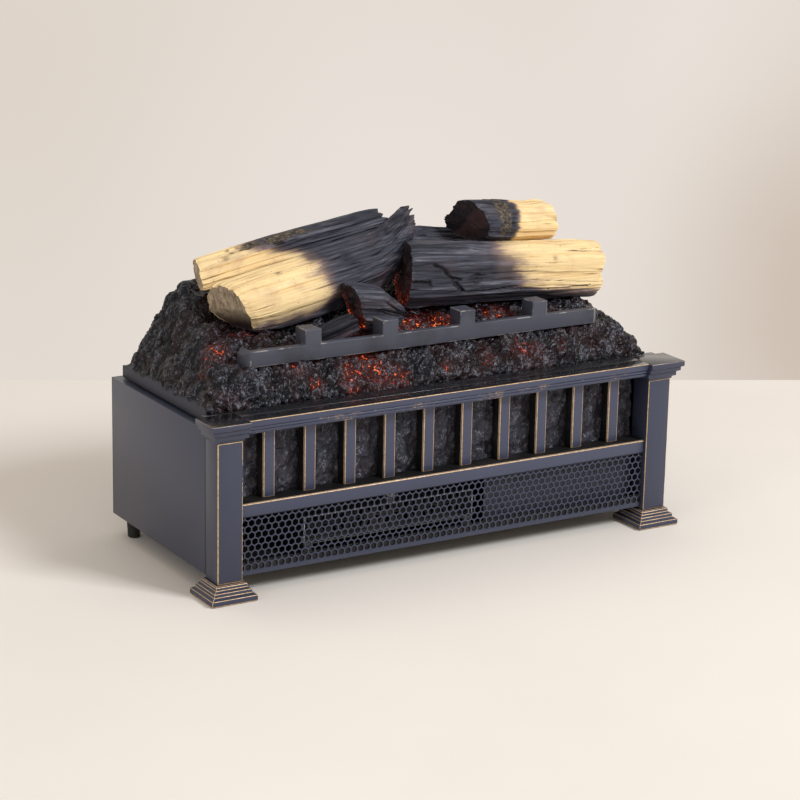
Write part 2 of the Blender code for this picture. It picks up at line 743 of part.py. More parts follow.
def make_top_shelf():
    top_middle = FRAME_HEIGHT - SHEET / 2
    under = FRAME_HEIGHT - SHEET
    narrow = CAPITAL_INNER_X - SEAT_GAP
    wide = HALF_WIDTH - SEAT_GAP
    step = at(SIDE_FRONT_SETBACK)
    rear = at(SHELF_REAR_SETBACK)
    shelf = box((-wide, step, under), (wide, rear, FRAME_HEIGHT))
    join(shelf, box((-narrow, at(SHELF_FRONT_SETBACK), under), (narrow, rear - SHEET, FRAME_HEIGHT)))
    ledge_low = CASING_TOP - SHEET
    fold = [
        (rear - SHEET, ledge_low), (rear + SHELF_LEDGE, ledge_low), (rear + SHELF_LEDGE, CASING_TOP),
        (rear, CASING_TOP), (rear, top_middle), (rear - SHEET, top_middle),
    ]
    ledge = solid(plate([fold], 2 * (FLANGE_INNER_X - SEAT_GAP), (0, 0, 0), "yz"))
    keep(join(shelf, ledge), "top_shelf", BLACK_GLOSS)


def make_mid_rail():
    front = at(MID_RAIL_SETBACK)
    back = front + MID_RAIL_DEPTH
    bottom = MID_RAIL_BOTTOM
    top = bottom + MID_RAIL_HEIGHT
    lip = front + MID_RAIL_LOWER_LIP
    outline = [
        (front, bottom), (lip, bottom), (lip, bottom + SHEET), (front + SHEET, bottom + SHEET),
        (front + SHEET, top - SHEET), (back - SHEET, top - SHEET), (back - SHEET, top - MID_RAIL_BACK_LIP),
        (back, top - MID_RAIL_BACK_LIP), (back, top), (front + MID_RAIL_EDGE, top), (front, top - MID_RAIL_EDGE),
    ]
    length = 2 * (POST_INNER_X - SEAT_GAP)
    keep(plate([outline], length, (0, 0, 0), "yz"), "mid_rail", PAINTED_STEEL)


def make_slats():
    bottom = MID_RAIL_BOTTOM + MID_RAIL_HEIGHT + SEAT_GAP
    height = FRAME_HEIGHT - SHEET - SEAT_GAP - bottom
    half = SLAT_WIDTH / 2
    outline = [
        (-half, SLAT_DEPTH), (-half, SLAT_EDGE), (SLAT_EDGE - half, 0),
        (half - SLAT_EDGE, 0), (half, SLAT_EDGE), (half, SLAT_DEPTH),
    ]
    for index in range(SLAT_COUNT):
        x = SLAT_PITCH * (index - (SLAT_COUNT - 1) / 2)
        slat = plate([outline], height, (x, at(SLAT_SETBACK), bottom + height / 2))
        keep(slat, f"slat_{index + 1:02d}", PAINTED_STEEL)


def hexagon(across, up, radius):
    turns = [math.radians(60 * corner + 30) for corner in range(6)]
    return [(across + radius * math.cos(turn), up + radius * math.sin(turn)) for turn in turns]


def grille_holes(left, right, bottom, top):
    """Rows of hexagons, each row offset by half a pitch from the next."""
    row_pitch = GRILLE_PITCH * math.sqrt(3) / 2
    radius = (GRILLE_PITCH - GRILLE_BAR) / math.sqrt(3)
    rows = int((top - bottom - 2 * radius) / row_pitch) + 1
    columns = int((right - left - GRILLE_PITCH / 2) / GRILLE_PITCH)
    middle = (bottom + top) / 2
    holes = []
    for row in range(rows):
        up = middle + row_pitch * (row - (rows - 1) / 2)
        shift = GRILLE_PITCH * (row % 2 - 1 / 2) / 2
        for column in range(columns):
            across = GRILLE_PITCH * (column - (columns - 1) / 2) + shift
            holes.append(hexagon(across, up, radius))
    return holes


def make_outlet_grille():
    half = POST_INNER_X - SEAT_GAP
    bottom = BASE_CLEARANCE
    top = MID_RAIL_BOTTOM - SEAT_GAP
    holes = grille_holes(
        GRILLE_END_BAND - half, half - GRILLE_END_BAND, bottom + GRILLE_LOWER_BAND, top - GRILLE_UPPER_BAND
    )
    place = (0, at(GRILLE_SETBACK + SHEET / 2), 0)
    grille = plate([rectangle(-half, bottom, half, top)] + holes, SHEET, place, "xz")
    keep(grille, "outlet_grille", PAINTED_STEEL)


# Coals
def coal_relief(across, along, size):
    """How far a lump of coal stands out at a place, from -0.5 to 0.5 of the relief."""
    distances, _ = noise.voronoi(Vector((across / size, along / size, 0)))
    return 1 / 2 - min(1, distances[0])


def surface_object(columns, rows, place_of):
    """An open sheet of columns by rows, each corner placed from its shares across and along."""

    def build(shape):
        bmesh.ops.create_grid(shape, x_segments=columns, y_segments=rows, size=1)
        for vertex in shape.verts:
            vertex.co = place_of((vertex.co.x + 1) / 2, (vertex.co.y + 1) / 2)

    return mesh_object("surface", build)


def thicken(obj, thickness, inward=True):
    modifier = obj.modifiers.new("thickness", "SOLIDIFY")
    modifier.thickness = thickness
    modifier.offset = -1 if inward else 1
    return obj


def make_front_ember_panel():
    half = POST_INNER_X - SEAT_GAP
    bottom = DIVIDER_SEAT
    height = FRAME_HEIGHT - SHEET - SEAT_GAP - bottom

    def place_of(across_share, along_share):
        x = half * (2 * across_share - 1)
        up = height * along_share
        edge = min(across_share, 1 - across_share, along_share, 1 - along_share)
        relief = EMBER_PANEL_RELIEF * coal_relief(x, up, EMBER_PANEL_COAL) if edge > 0 else 0
        return (x, at(EMBER_PANEL_SETBACK) - relief, bottom + up)

    panel = thicken(surface_object(EMBER_PANEL_COLUMNS, EMBER_PANEL_ROWS, place_of), EMBER_PANEL_THICKNESS)
    keep(panel, "front_ember_panel", GLOWING_COAL)


def soft_least(values):
    """The least of some heights, blended where they are close."""
    total = sum(math.exp(-value / BED_BLEND) for value in values)
    return -BED_BLEND * math.log(total)


def bed_height(x, setback):
    """The ember bed's height above its skirt, before anything is pressed into it."""
    from_end = BED_WIDTH / 2 - abs(x)
    from_front = setback - BED_SETBACK
    from_back = BED_SETBACK + BED_DEPTH - setback
    step_slope = BED_FRONT_STEP / BED_FRONT_RUN
    front = step_slope * min(from_front, BED_FRONT_RUN)
    front += BED_PLATEAU_SLOPE_SHARE * max(0, from_front - BED_FRONT_RUN)
    back = BED_HEIGHT * from_back / BED_BACK_RUN
    end = BED_HEIGHT * from_end / BED_END_RUN
    return max(0, soft_least((front, back, end, BED_HEIGHT)))


def bed_place(x_share, setback_share, height):
    """A place over the ember bed, from shares of its half width and its depth."""
    return Vector((x_share * BED_WIDTH / 2, at(BED_SETBACK + BED_DEPTH * setback_share), BED_BASE + height))


def underside_of(objects):
    """A search tree of the evaluated objects and their corners, to find what lies over a place."""
    bpy.context.view_layer.update()
    graph = bpy.context.evaluated_depsgraph_get()
    points = []
    faces = []
    for obj in objects:
        evaluated = obj.evaluated_get(graph)
        mesh = evaluated.to_mesh()
        mesh.calc_loop_triangles()
        start = len(points)
        points += [evaluated.matrix_world @ vertex.co for vertex in mesh.vertices]
        faces += [[start + corner for corner in triangle.vertices] for triangle in mesh.loop_triangles]
        evaluated.to_mesh_clear()
    return BVHTree.FromPolygons(points, faces), points


def lowest_over(tree, corners, x, y, reach_x, reach_y):
    """The lowest point of what lies over a small rectangle round a place, or None."""
    found = [point.z for point in corners if abs(point.x - x) <= reach_x and abs(point.y - y) <= reach_y]
    shares = [step / BED_SEARCH_STEPS for step in range(-BED_SEARCH_STEPS, BED_SEARCH_STEPS + 1)]
    for across in shares:
        for along in shares:
            start = Vector((x + reach_x * across, y + reach_y * along, BED_SEAT))
            hit = tree.ray_cast(start, Vector((0, 0, 1)))[0]
            if hit is not None:
                found.append(hit.z)
    return min(found) if found else None


def spread(step, count, length, near, far):
    """How far along a length a step lies, where the runs at its near and far ends have steps of their own."""
    near_run, near_count = near
    far_run, far_count = far
    if step <= near_count:
        return near_run * step / near_count
    if step >= count - far_count:
        return length - far_run * (count - step) / far_count
    return near_run + (length - near_run - far_run) * (step - near_count) / (count - near_count - far_count)


def bed_column(column):
    end = (BED_END_RUN, BED_END_COLUMNS)
    return spread(column, BED_COLUMNS, BED_WIDTH, end, end) - BED_WIDTH / 2


def bed_row(row):
    front = (BED_FRONT_RUN, BED_FRONT_ROWS)
    back = (BED_BACK_RUN, BED_BACK_ROWS)
    return BED_SETBACK + spread(row, BED_ROWS, BED_DEPTH, front, back)


def bed_facing(x, setback):
    """The direction straight out of the ember bed at a place."""
    across = bed_height(x + BED_SLOPE_STEP, setback) - bed_height(x - BED_SLOPE_STEP, setback)
    along = bed_height(x, setback + BED_SLOPE_STEP) - bed_height(x, setback - BED_SLOPE_STEP)
    return Vector((-across, -along, 2 * BED_SLOPE_STEP)).normalized()


def coal_stand(column, row):
    """How far a corner of the bed's net stands out, from -0.5 to 0.5 of the relief. Each coal is a crest with
    creases round it, and the crests of one row lie between those of the next."""
    stand = (1 + noise.cell(Vector((column, row, 0)))) / 4
    crest = row % 2 == 1 and (column + row // 2) % 2 == 1
    return stand if crest else -stand


def make_ember_bed(pressed_in):
    """A moulded shell of coals, which everything that lies on it has pressed its own seat into."""
    tree, corners = underside_of(pressed_in)
    reach_x = bed_column(BED_END_COLUMNS + 1) - bed_column(BED_END_COLUMNS)
    reach_y = bed_row(BED_FRONT_ROWS + 1) - bed_row(BED_FRONT_ROWS)

    def place_of(x_share, setback_share):
        column = round(x_share * BED_COLUMNS)
        row = round(setback_share * BED_ROWS)
        x = bed_column(column)
        setback = bed_row(row)
        height = bed_height(x, setback)
        fade = min(1, height / BED_COAL_RELIEF)
        stand = bed_facing(x, setback) * BED_COAL_RELIEF * coal_stand(column, row) * fade
        luck = (noise.cell_vector(Vector((column, row, 1))) - Vector((1, 1, 1)) / 2) * BED_SCATTER_SHARE * fade
        x += stand.x + luck.x * reach_x
        setback += stand.y + luck.y * reach_y
        top = BED_BASE + bed_height(x, setback) + stand.z
        above = lowest_over(tree, corners, x, at(setback), reach_x, reach_y)
        if above is not None:
            top = min(top, above - SEAT_GAP)
        return (x, at(setback), max(BED_BASE, top))

    bed = surface_object(BED_COLUMNS, BED_ROWS, place_of)
    shape = bmesh.new()
    shape.from_mesh(bed.data)
    rim = [edge for edge in shape.edges if edge.is_boundary]
    made = bmesh.ops.extrude_edge_only(shape, edges=rim)["geom"]
    for vertex in made:
        if isinstance(vertex, bmesh.types.BMVert):
            vertex.co.z = BED_SEAT
    bmesh.ops.recalc_face_normals(shape, faces=shape.faces)
    if max(shape.faces, key=lambda face: face.calc_center_median().z).normal.z < 0:
        bmesh.ops.reverse_faces(shape, faces=shape.faces)
    shape.to_mesh(bed.data)
    shape.free()
    keep(thicken(bed, BED_WALL), "ember_bed", COAL)


# Grate
def make_grate():
    """A moulded bar with ends that turn back, and four square prongs that stand on it."""
    half = GRATE_LENGTH / 2
    front = at(GRATE_SETBACK)
    back = front + GRATE_RETURN
    thick = GRATE_THICKNESS
    corner = GRATE_CORNER
    top = GRATE_BOTTOM + GRATE_BAR_HEIGHT
    outer_right = arc(half - corner, front + corner, corner, -90, 0, 4)
    strip = outer_right + [(half, back), (half - thick, back), (half - thick, front + thick)]
    strip += [(thick - half, front + thick), (thick - half, back), (-half, back)]
    strip += [(-x, y) for x, y in reversed(outer_right)]
    bar = solid(plate([strip], GRATE_BAR_HEIGHT, (0, 0, GRATE_BOTTOM + GRATE_BAR_HEIGHT / 2)))
    for side in (-1, 1):
        outline = [(half + OVERRUN, top + OVERRUN), (half - GRATE_EDGE, top + OVERRUN)]
        outline += [(half - GRATE_EDGE, top), (half, top - GRATE_EDGE), (half + OVERRUN, top - GRATE_EDGE)]
        mirrored = [(side * x, z) for x, z in outline]
        depth = GRATE_RETURN + 2 * OVERRUN
        cut(bar, solid(plate([mirrored], depth, (0, front + GRATE_RETURN / 2, 0), "xz")))
    reach = PRONG_WIDTH / 2
    sunk = GRATE_BOTTOM + GRATE_BAR_HEIGHT / 2
    for place_share in PRONG_PLACE_SHARES:
        x = half * place_share
        join(bar, box((x - reach, front, sunk), (x + reach, front + PRONG_DEPTH, top + PRONG_HEIGHT)))
    return keep(bar, "grate", GRATE_IRON)


# Logs
def log_frame(turn, rise):
    """The directions along a log, across it towards the back, and up across it."""
    heading = Matrix.Rotation(math.radians(turn), 3, "Z") @ Matrix.Rotation(-math.radians(rise), 3, "Y")
    return heading @ Vector((1, 0, 0)), heading @ Vector((0, 1, 0)), heading @ Vector((0, 0, 1))


def log_object(start, length, depth, height, turn, rise, section_shares, run_shares, growth=0.0):
    """A loft along a log. Section shares are radii from the back round over the top. Each run share row is how
    far along, the size there, how far the middle is moved back and up, in shares of the depth and the height,
    how far the ring leans, so that its top is nearer the start than its bottom, and how far it is skewed, so
    that its back is nearer the start than its front."""
    along, back, up = log_frame(turn, rise)
    shape = bmesh.new()
    rings = []
    last = len(run_shares) - 1
    for index, (along_share, size_share, back_share, up_share, lean_share, skew_share) in enumerate(run_shares):
        end_growth = growth * ((index == last) - (index == 0))
        middle = start + along * (length * along_share + end_growth)
        middle += back * depth * back_share + up * height * up_share
        ring = []
        for corner, radius_share in enumerate(section_shares):
            turned_by = 2 * math.pi * corner / len(section_shares)
            grain = Vector((along_share, math.cos(turned_by), math.sin(turned_by)))
            bark = 1 + LOG_BARK_SHARE * noise.noise(grain + Vector((turn, rise, 0)))
            across = (depth / 2 * radius_share * size_share * bark + growth) * math.cos(turned_by)
            above = (height / 2 * radius_share * size_share * bark + growth) * math.sin(turned_by)
            slant = along * (above * lean_share + across * skew_share)
            ring.append(shape.verts.new(middle + back * across + up * above - slant))
        rings.append(ring)
    for first, second in zip(rings, rings[1:]):
        for corner in range(len(first)):
            following = (corner + 1) % len(first)
            shape.faces.new((first[corner], first[following], second[following], second[corner]))
    shape.faces.new(list(reversed(rings[0])))
    shape.faces.new(rings[-1])
    bmesh.ops.recalc_face_normals(shape, faces=shape.faces)
    bmesh.ops.triangulate(shape, faces=shape.faces)
    mesh = bpy.data.meshes.new("log")
    shape.to_mesh(mesh)
    shape.free()
    return link(bpy.data.objects.new("log", mesh))


ROUND_SECTION_SHARES = (0.98, 1.0, 0.95, 0.98, 1.02, 0.96, 1.0, 0.97, 1.0, 0.95, 0.98, 1.0)
FLAT_FRONT_SECTION_SHARES = (0.96, 1.0, 1.02, 0.98, 1.10, 1.10, 0.94, 1.10, 1.08, 0.95, 1.0, 1.0)
SPLIT_SECTION_SHARES = (0.90, 0.94, 1.02, 1.0, 1.04, 0.92, 0.90, 1.04, 1.06, 0.90, 0.86, 0.88)
SLAB_SECTION_SHARES = (0.96, 1.08, 1.0, 0.94, 1.02, 1.14, 0.98, 1.04, 0.96, 0.92, 0.96, 1.06)
HALF_ROUND_SHARES = (0.96, 1.0, 1.0, 1.02, 1.0, 0.98, 0.98, 0.96, 0.90, 0.82, 0.86, 0.94)
BLOCK_SECTION_SHARES = (0.94, 1.16, 1.10, 0.94, 1.10, 1.18, 0.94, 1.12, 1.10, 0.94, 1.10, 1.14)

FRONT_LEFT_RUN_SHARES = (
    (0.0, 0.88, 0.0, 0.0, 0.60, 0.35), (0.03, 0.96, 0.0, 0.0, 0.56, 0.32), (0.20, 1.02, 0.0, 0.0, 0.10, 0.0),
    (0.40, 1.02, 0.0, 0.0, 0.0, 0.0), (0.60, 0.98, 0.02, 0.0, 0.0, 0.0), (0.75, 0.92, 0.04, 0.02, 0.0, 0.0),
    (0.86, 0.84, 0.06, 0.12, 0.0, 0.0), (0.94, 0.66, 0.06, 0.34, 0.0, 0.0), (1.0, 0.38, 0.06, 0.62, 0.0, 0.0),
)
REAR_LEFT_RUN_SHARES = (
    (0.0, 0.95, 0.0, 0.0, 0.0, 0.0), (0.02, 1.0, 0.0, 0.0, 0.0, 0.0), (0.18, 1.0, 0.0, 0.03, 0.0, 0.0),
    (0.36, 0.99, 0.0, 0.05, 0.0, 0.0), (0.54, 1.02, 0.0, 0.04, 0.0, 0.0), (0.72, 1.0, 0.0, 0.02, 0.0, 0.0),
    (0.88, 1.02, 0.0, 0.02, 0.0, 0.0), (0.98, 1.0, 0.0, 0.0, 0.10, 0.0), (1.0, 0.94, 0.0, 0.0, 0.12, 0.0),
)
FRONT_RIGHT_RUN_SHARES = (
    (0.0, 0.97, 0.0, 0.0, 0.0, -0.24), (0.02, 1.0, 0.0, 0.0, 0.0, -0.22), (0.20, 0.99, 0.0, 0.0, 0.0, 0.0),
    (0.38, 0.95, 0.0, 0.0, 0.0, 0.0), (0.56, 0.92, 0.0, 0.0, 0.0, 0.0), (0.74, 0.91, 0.0, 0.0, 0.0, 0.0),
    (0.90, 0.90, 0.0, 0.01, 0.0, 0.0), (0.98, 0.88, 0.0, 0.01, -0.06, 0.0), (1.0, 0.84, 0.0, 0.0, -0.06, 0.0),
)
REAR_CHARRED_RUN_SHARES = (
    (0.0, 0.60, 0.0, 0.0, 0.0, 0.0), (0.04, 0.80, 0.0, 0.0, 0.0, 0.0), (0.25, 0.96, 0.0, 0.0, 0.0, 0.0),
    (0.50, 1.0, 0.0, 0.0, 0.0, 0.0), (0.75, 0.96, 0.0, 0.0, 0.0, 0.0), (0.95, 0.86, 0.0, 0.0, 0.0, 0.0),
    (1.0, 0.70, 0.0, 0.0, 0.0, 0.0),
)
STUB_RUN_SHARES = (
    (0.0, 0.97, 0.0, 0.0, -0.18, 0.42), (0.04, 1.0, 0.0, 0.0, -0.16, 0.40), (0.25, 1.0, 0.0, 0.0, 0.0, 0.10),
    (0.45, 0.95, 0.0, -0.01, 0.0, 0.0), (0.66, 0.92, 0.0, -0.02, 0.0, 0.0), (0.84, 0.95, 0.0, 0.0, 0.10, 0.0),
    (0.97, 0.92, 0.0, 0.0, 0.22, 0.0), (1.0, 0.86, 0.0, 0.0, 0.22, 0.0),
)
CHUNK_RUN_SHARES = (
    (0.0, 0.92, 0.0, 0.0, 0.10, 0.0), (0.06, 0.98, 0.0, 0.0, 0.10, 0.0), (0.35, 0.92, 0.0, 0.0, 0.0, 0.0),
    (0.65, 0.76, 0.0, -0.06, 0.0, 0.0), (0.92, 0.52, 0.0, -0.12, 0.0, 0.0), (1.0, 0.38, 0.0, -0.14, 0.0, 0.0),
)
WEDGE_RUN_SHARES = (
    (0.0, 0.50, 0.0, 0.0, 0.0, 0.0), (0.10, 0.75, 0.0, 0.0, 0.0, 0.0), (0.55, 1.0, 0.0, 0.0, 0.0, 0.0),
    (1.0, 0.90, 0.0, 0.0, 0.0, 0.0),
)

# Each log's left end over the bed, as shares of the bed's half width and depth, and its height share of the rise
FRONT_LEFT_PLACE_SHARES = (-0.746, 0.455, 0.825)
REAR_LEFT_PLACE_SHARES = (-0.757, 0.706, 1.130)
FRONT_RIGHT_PLACE_SHARES = (0.040, 0.455, 1.022)
REAR_CHARRED_PLACE_SHARES = (0.115, 0.733, 1.180)
STUB_PLACE_SHARES = (0.355, 0.546, 1.520)
CHUNK_PLACE_SHARES = (-0.272, 0.316, 0.804)
WEDGE_PLACE_SHARES = (-0.453, 0.262, 0.482)


def placed_log(place_shares, *sizes, growth=0.0):
    x_share, setback_share, height_share = place_shares
    return log_object(bed_place(x_share, setback_share, BED_HEIGHT * height_share), *sizes, growth=growth)


def front_left_log(growth=0.0):
    return placed_log(
        FRONT_LEFT_PLACE_SHARES, FRONT_LEFT_LOG_LENGTH, FRONT_LEFT_LOG_DEPTH, FRONT_LEFT_LOG_HEIGHT,
        FRONT_LEFT_LOG_TURN, FRONT_LEFT_LOG_RISE, SPLIT_SECTION_SHARES, FRONT_LEFT_RUN_SHARES, growth=growth,
    )


def rear_left_log(growth=0.0):
    return placed_log(
        REAR_LEFT_PLACE_SHARES, REAR_LEFT_LOG_LENGTH, REAR_LEFT_LOG_DEPTH, REAR_LEFT_LOG_HEIGHT,
        REAR_LEFT_LOG_TURN, REAR_LEFT_LOG_RISE, SLAB_SECTION_SHARES, REAR_LEFT_RUN_SHARES, growth=growth,
    )


def front_right_log(growth=0.0):
    return placed_log(
        FRONT_RIGHT_PLACE_SHARES, FRONT_RIGHT_LOG_LENGTH, FRONT_RIGHT_LOG_DEPTH, FRONT_RIGHT_LOG_HEIGHT,
        FRONT_RIGHT_LOG_TURN, FRONT_RIGHT_LOG_RISE, FLAT_FRONT_SECTION_SHARES, FRONT_RIGHT_RUN_SHARES, growth=growth,
    )


def rear_charred_log(growth=0.0):
    return placed_log(
        REAR_CHARRED_PLACE_SHARES, REAR_CHARRED_LOG_LENGTH, REAR_CHARRED_LOG_DEPTH, REAR_CHARRED_LOG_HEIGHT,
        REAR_CHARRED_LOG_TURN, REAR_CHARRED_LOG_RISE, ROUND_SECTION_SHARES, REAR_CHARRED_RUN_SHARES, growth=growth,
    )


def stub_log():
    return placed_log(
        STUB_PLACE_SHARES, STUB_LOG_LENGTH, STUB_LOG_DEPTH, STUB_LOG_HEIGHT,
        STUB_LOG_TURN, STUB_LOG_RISE, HALF_ROUND_SHARES, STUB_RUN_SHARES,
    )


def centre_chunk(growth=0.0):
    return placed_log(
        CHUNK_PLACE_SHARES, CHUNK_LENGTH, CHUNK_DEPTH, CHUNK_HEIGHT,
        CHUNK_TURN, CHUNK_RISE, BLOCK_SECTION_SHARES, CHUNK_RUN_SHARES, growth=growth,
    )


def wedge():
    return placed_log(
        WEDGE_PLACE_SHARES, WEDGE_LENGTH, WEDGE_DEPTH, WEDGE_HEIGHT,
        WEDGE_TURN, WEDGE_RISE, BLOCK_SECTION_SHARES, WEDGE_RUN_SHARES,
    )


def grate_clearance():
    """The grate's space, a little larger, to cut from what lies against it."""
    half = GRATE_LENGTH / 2
    front = at(GRATE_SETBACK) - NOTCH_GAP
    reach = PRONG_WIDTH / 2 + NOTCH_GAP
    bar_top = GRATE_BOTTOM + GRATE_BAR_HEIGHT + NOTCH_GAP
    bar = box(
        (-half - NOTCH_GAP, front, GRATE_BOTTOM - NOTCH_GAP), (half + NOTCH_GAP, front + GRATE_THICKNESS, bar_top)
    )
    back = at(GRATE_SETBACK) + PRONG_DEPTH + NOTCH_GAP
    for place_share in PRONG_PLACE_SHARES:
        x = half * place_share
        low = (x - reach, front, GRATE_BOTTOM)
        join(bar, box(low, (x + reach, back, bar_top + PRONG_HEIGHT)))
    return bar


def make_logs():
    """Moulded logs, each notched where it lies on another, as the real moulded ones are."""
    front_left = cut(front_left_log(), grate_clearance())
    front_right = cut(front_right_log(), front_left_log(NOTCH_GAP), grate_clearance())
    rear_left = cut(rear_left_log(), front_left_log(NOTCH_GAP))
    charred = cut(
        rear_charred_log(), front_left_log(NOTCH_GAP), front_right_log(NOTCH_GAP), rear_left_log(NOTCH_GAP)
    )
    stub = cut(stub_log(), front_right_log(NOTCH_GAP), rear_charred_log(NOTCH_GAP))
    chunk = cut(centre_chunk(), front_left_log(NOTCH_GAP), front_right_log(NOTCH_GAP), grate_clearance())
    small = cut(wedge(), front_left_log(NOTCH_GAP), centre_chunk(NOTCH_GAP), grate_clearance())
    named = (
        (front_left, "log_front_left", WOOD), (front_right, "log_front_right", WOOD),
        (rear_left, "log_rear_left", WOOD), (charred, "log_rear_charred", CHAR), (stub, "log_stub", WOOD),
        (chunk, "log_centre_chunk", CHAR), (small, "log_wedge", CHAR),
    )
    return [keep(obj, name, finish) for obj, name, finish in named]


# Heater and blower
def make_heater_frame():
    left = -DUCT_LEFT
    right = DUCT_RIGHT
    top = DUCT_BOTTOM + DUCT_HEIGHT
    loops = [
        rectangle(left, DUCT_BOTTOM, right, top),
        rectangle(left + SHEET, DUCT_BOTTOM + SHEET, right - SHEET, top - SHEET),
    ]
    frame = solid(plate(loops, DUCT_DEPTH, (0, at(DUCT_SETBACK + DUCT_DEPTH / 2), 0), "xz"))
    rear = at(DUCT_REAR_SETBACK)
    for leg_left in (left, right - DUCT_LEG_WIDTH):
        low = (leg_left + SHEET / 2, at(DUCT_SETBACK) + SHEET, PAN_SEAT)
        high = (leg_left + DUCT_LEG_WIDTH - SHEET / 2, rear - SHEET, DUCT_BOTTOM + SHEET / 2)
        join(frame, box(low, high))
    keep(frame, "heater_frame", BARE_STEEL)


def make_baffle_plate():
    front = at(BAFFLE_SETBACK)
    foot = front + BAFFLE_FOOT
    outline = [
        (front, PAN_SEAT), (foot, PAN_SEAT), (foot, PAN_SEAT + SHEET),
        (front + SHEET, PAN_SEAT + SHEET), (front + SHEET, BAFFLE_TOP), (front, BAFFLE_TOP),
    ]
    keep(plate([outline], BAFFLE_WIDTH, (BAFFLE_LEFT + BAFFLE_WIDTH / 2, 0, 0), "yz"), "baffle_plate", GREY_STEEL)


def make_heater_core():
    """Three bars with corrugated fins between them, as one outline with triangular spaces."""
    left = SHEET + CORE_GAP - DUCT_LEFT
    right = DUCT_RIGHT - SHEET - CORE_GAP
    bottom = DUCT_BOTTOM + SHEET + CORE_GAP
    top = DUCT_BOTTOM + DUCT_HEIGHT - SHEET - CORE_GAP
    row_height = (top - bottom - 3 * CORE_BAR) / 2
    pitch = (right - left - 2 * CORE_BAR) / CORE_FINS
    loops = [rectangle(left, bottom, right, top)]
    for row in range(2):
        low = bottom + CORE_BAR + row * (row_height + CORE_BAR)
        high = low + row_height
        for fin in range(CORE_FINS):
            start = left + CORE_BAR + fin * pitch
            wide = (start + CORE_FIN, start + pitch - CORE_FIN)
            base, tip = (low, high) if (fin + row) % 2 else (high, low)
            loops.append([(wide[0], base), (wide[1], base), ((wide[0] + wide[1]) / 2, tip)])
    place = (0, at(CORE_SETBACK + CORE_DEPTH / 2), 0)
    keep(plate(loops, CORE_DEPTH, place, "xz"), "heater_core", ALUMINIUM)


def scroll_end_outline():
    """The end plate: round the rotor, forward to the outlet, with a foot down to the pan."""
    y = at(BLOWER_SETBACK)
    front = at(SCROLL_FRONT_SETBACK) + SCROLL_WALL
    radius = ROTOR_RADIUS + SCROLL_GAP + SCROLL_WALL + SCROLL_END_MARGIN
    top = DUCT_BOTTOM + DUCT_HEIGHT + SCROLL_END_MARGIN
    low = DUCT_BOTTOM - SCROLL_WALL - SCROLL_END_MARGIN
    round_part = arc(y, BLOWER_HEIGHT, radius, 0, SCROLL_TONGUE_ANGLE - SCROLL_REAR_ANGLE, 6)
    foot_half = ROTOR_RADIUS * 2 / 3
    foot = [(y - foot_half, low), (y - foot_half, PAN_SEAT), (y + foot_half, PAN_SEAT)]
    return round_part + [(y - radius, top), (front, top), (front, low)] + foot


def make_scroll_housing():
    y = at(BLOWER_SETBACK)
    z = BLOWER_HEIGHT
    front = at(SCROLL_FRONT_SETBACK)
    inner = ROTOR_RADIUS + SCROLL_GAP
    outer = inner + SCROLL_WALL
    low = DUCT_BOTTOM
    top = DUCT_BOTTOM + DUCT_HEIGHT
    wall = arc(y, z, inner, -90, SCROLL_REAR_ANGLE, 6)
    wall += arc(y, z, outer, SCROLL_REAR_ANGLE, -90, 6)
    wall += [(front, low - SCROLL_WALL), (front, low)]
    tongue_turn = math.radians(SCROLL_TONGUE_ANGLE)
    tongue_y = y + inner * math.cos(tongue_turn)
    tongue = [
        (front, top - SCROLL_WALL), (tongue_y, top - SCROLL_WALL), (tongue_y, top + SCROLL_TONGUE_LIP),
        (tongue_y - SCROLL_WALL, top + SCROLL_TONGUE_LIP), (tongue_y - SCROLL_WALL, top), (front, top),
    ]
    half_wall = SCROLL_WALL / 2
    left = -DUCT_LEFT
    right = DUCT_RIGHT
    length = right - left - SCROLL_WALL
    middle = (left + right) / 2
    housing = solid(plate([wall], length, (middle, 0, 0), "yz"))
    join(housing, solid(plate([tongue], length, (middle, 0, 0), "yz")))
    for x, radius in ((left + half_wall, BUSH_RADIUS + SHAFT_FIT), (right - half_wall, MOTOR_BOSS_RADIUS + SHAFT_FIT)):
        loops = [scroll_end_outline(), circle(y, z, radius, ROUND_STEPS)]
        join(housing, solid(plate(loops, SCROLL_WALL, (x, 0, 0), "yz")))
    keep(housing, "scroll_housing", GREY_STEEL)


def blade_outline(turn):
    """A thin curved blade near the rim, leaning forward, about the rotor's axis."""
    outer = ROTOR_RADIUS - ROTOR_BLADE
    inner = outer - ROTOR_BLADE_DEPTH
    lean = math.radians(ROTOR_BLADE_LEAN)
    points = []
    for radius, ahead_share in ((inner, 0), ((inner + outer) / 2, 0.36), (outer, 1)):
        ahead = turn + lean * ahead_share * ROTOR_BLADE_DEPTH / ROTOR_RADIUS
        points.append((radius, ahead))
    half = ROTOR_BLADE / 2
    front = [(r * math.cos(a + half / r), r * math.sin(a + half / r)) for r, a in points]
    rear = [(r * math.cos(a - half / r), r * math.sin(a - half / r)) for r, a in reversed(points)]
    return front + rear


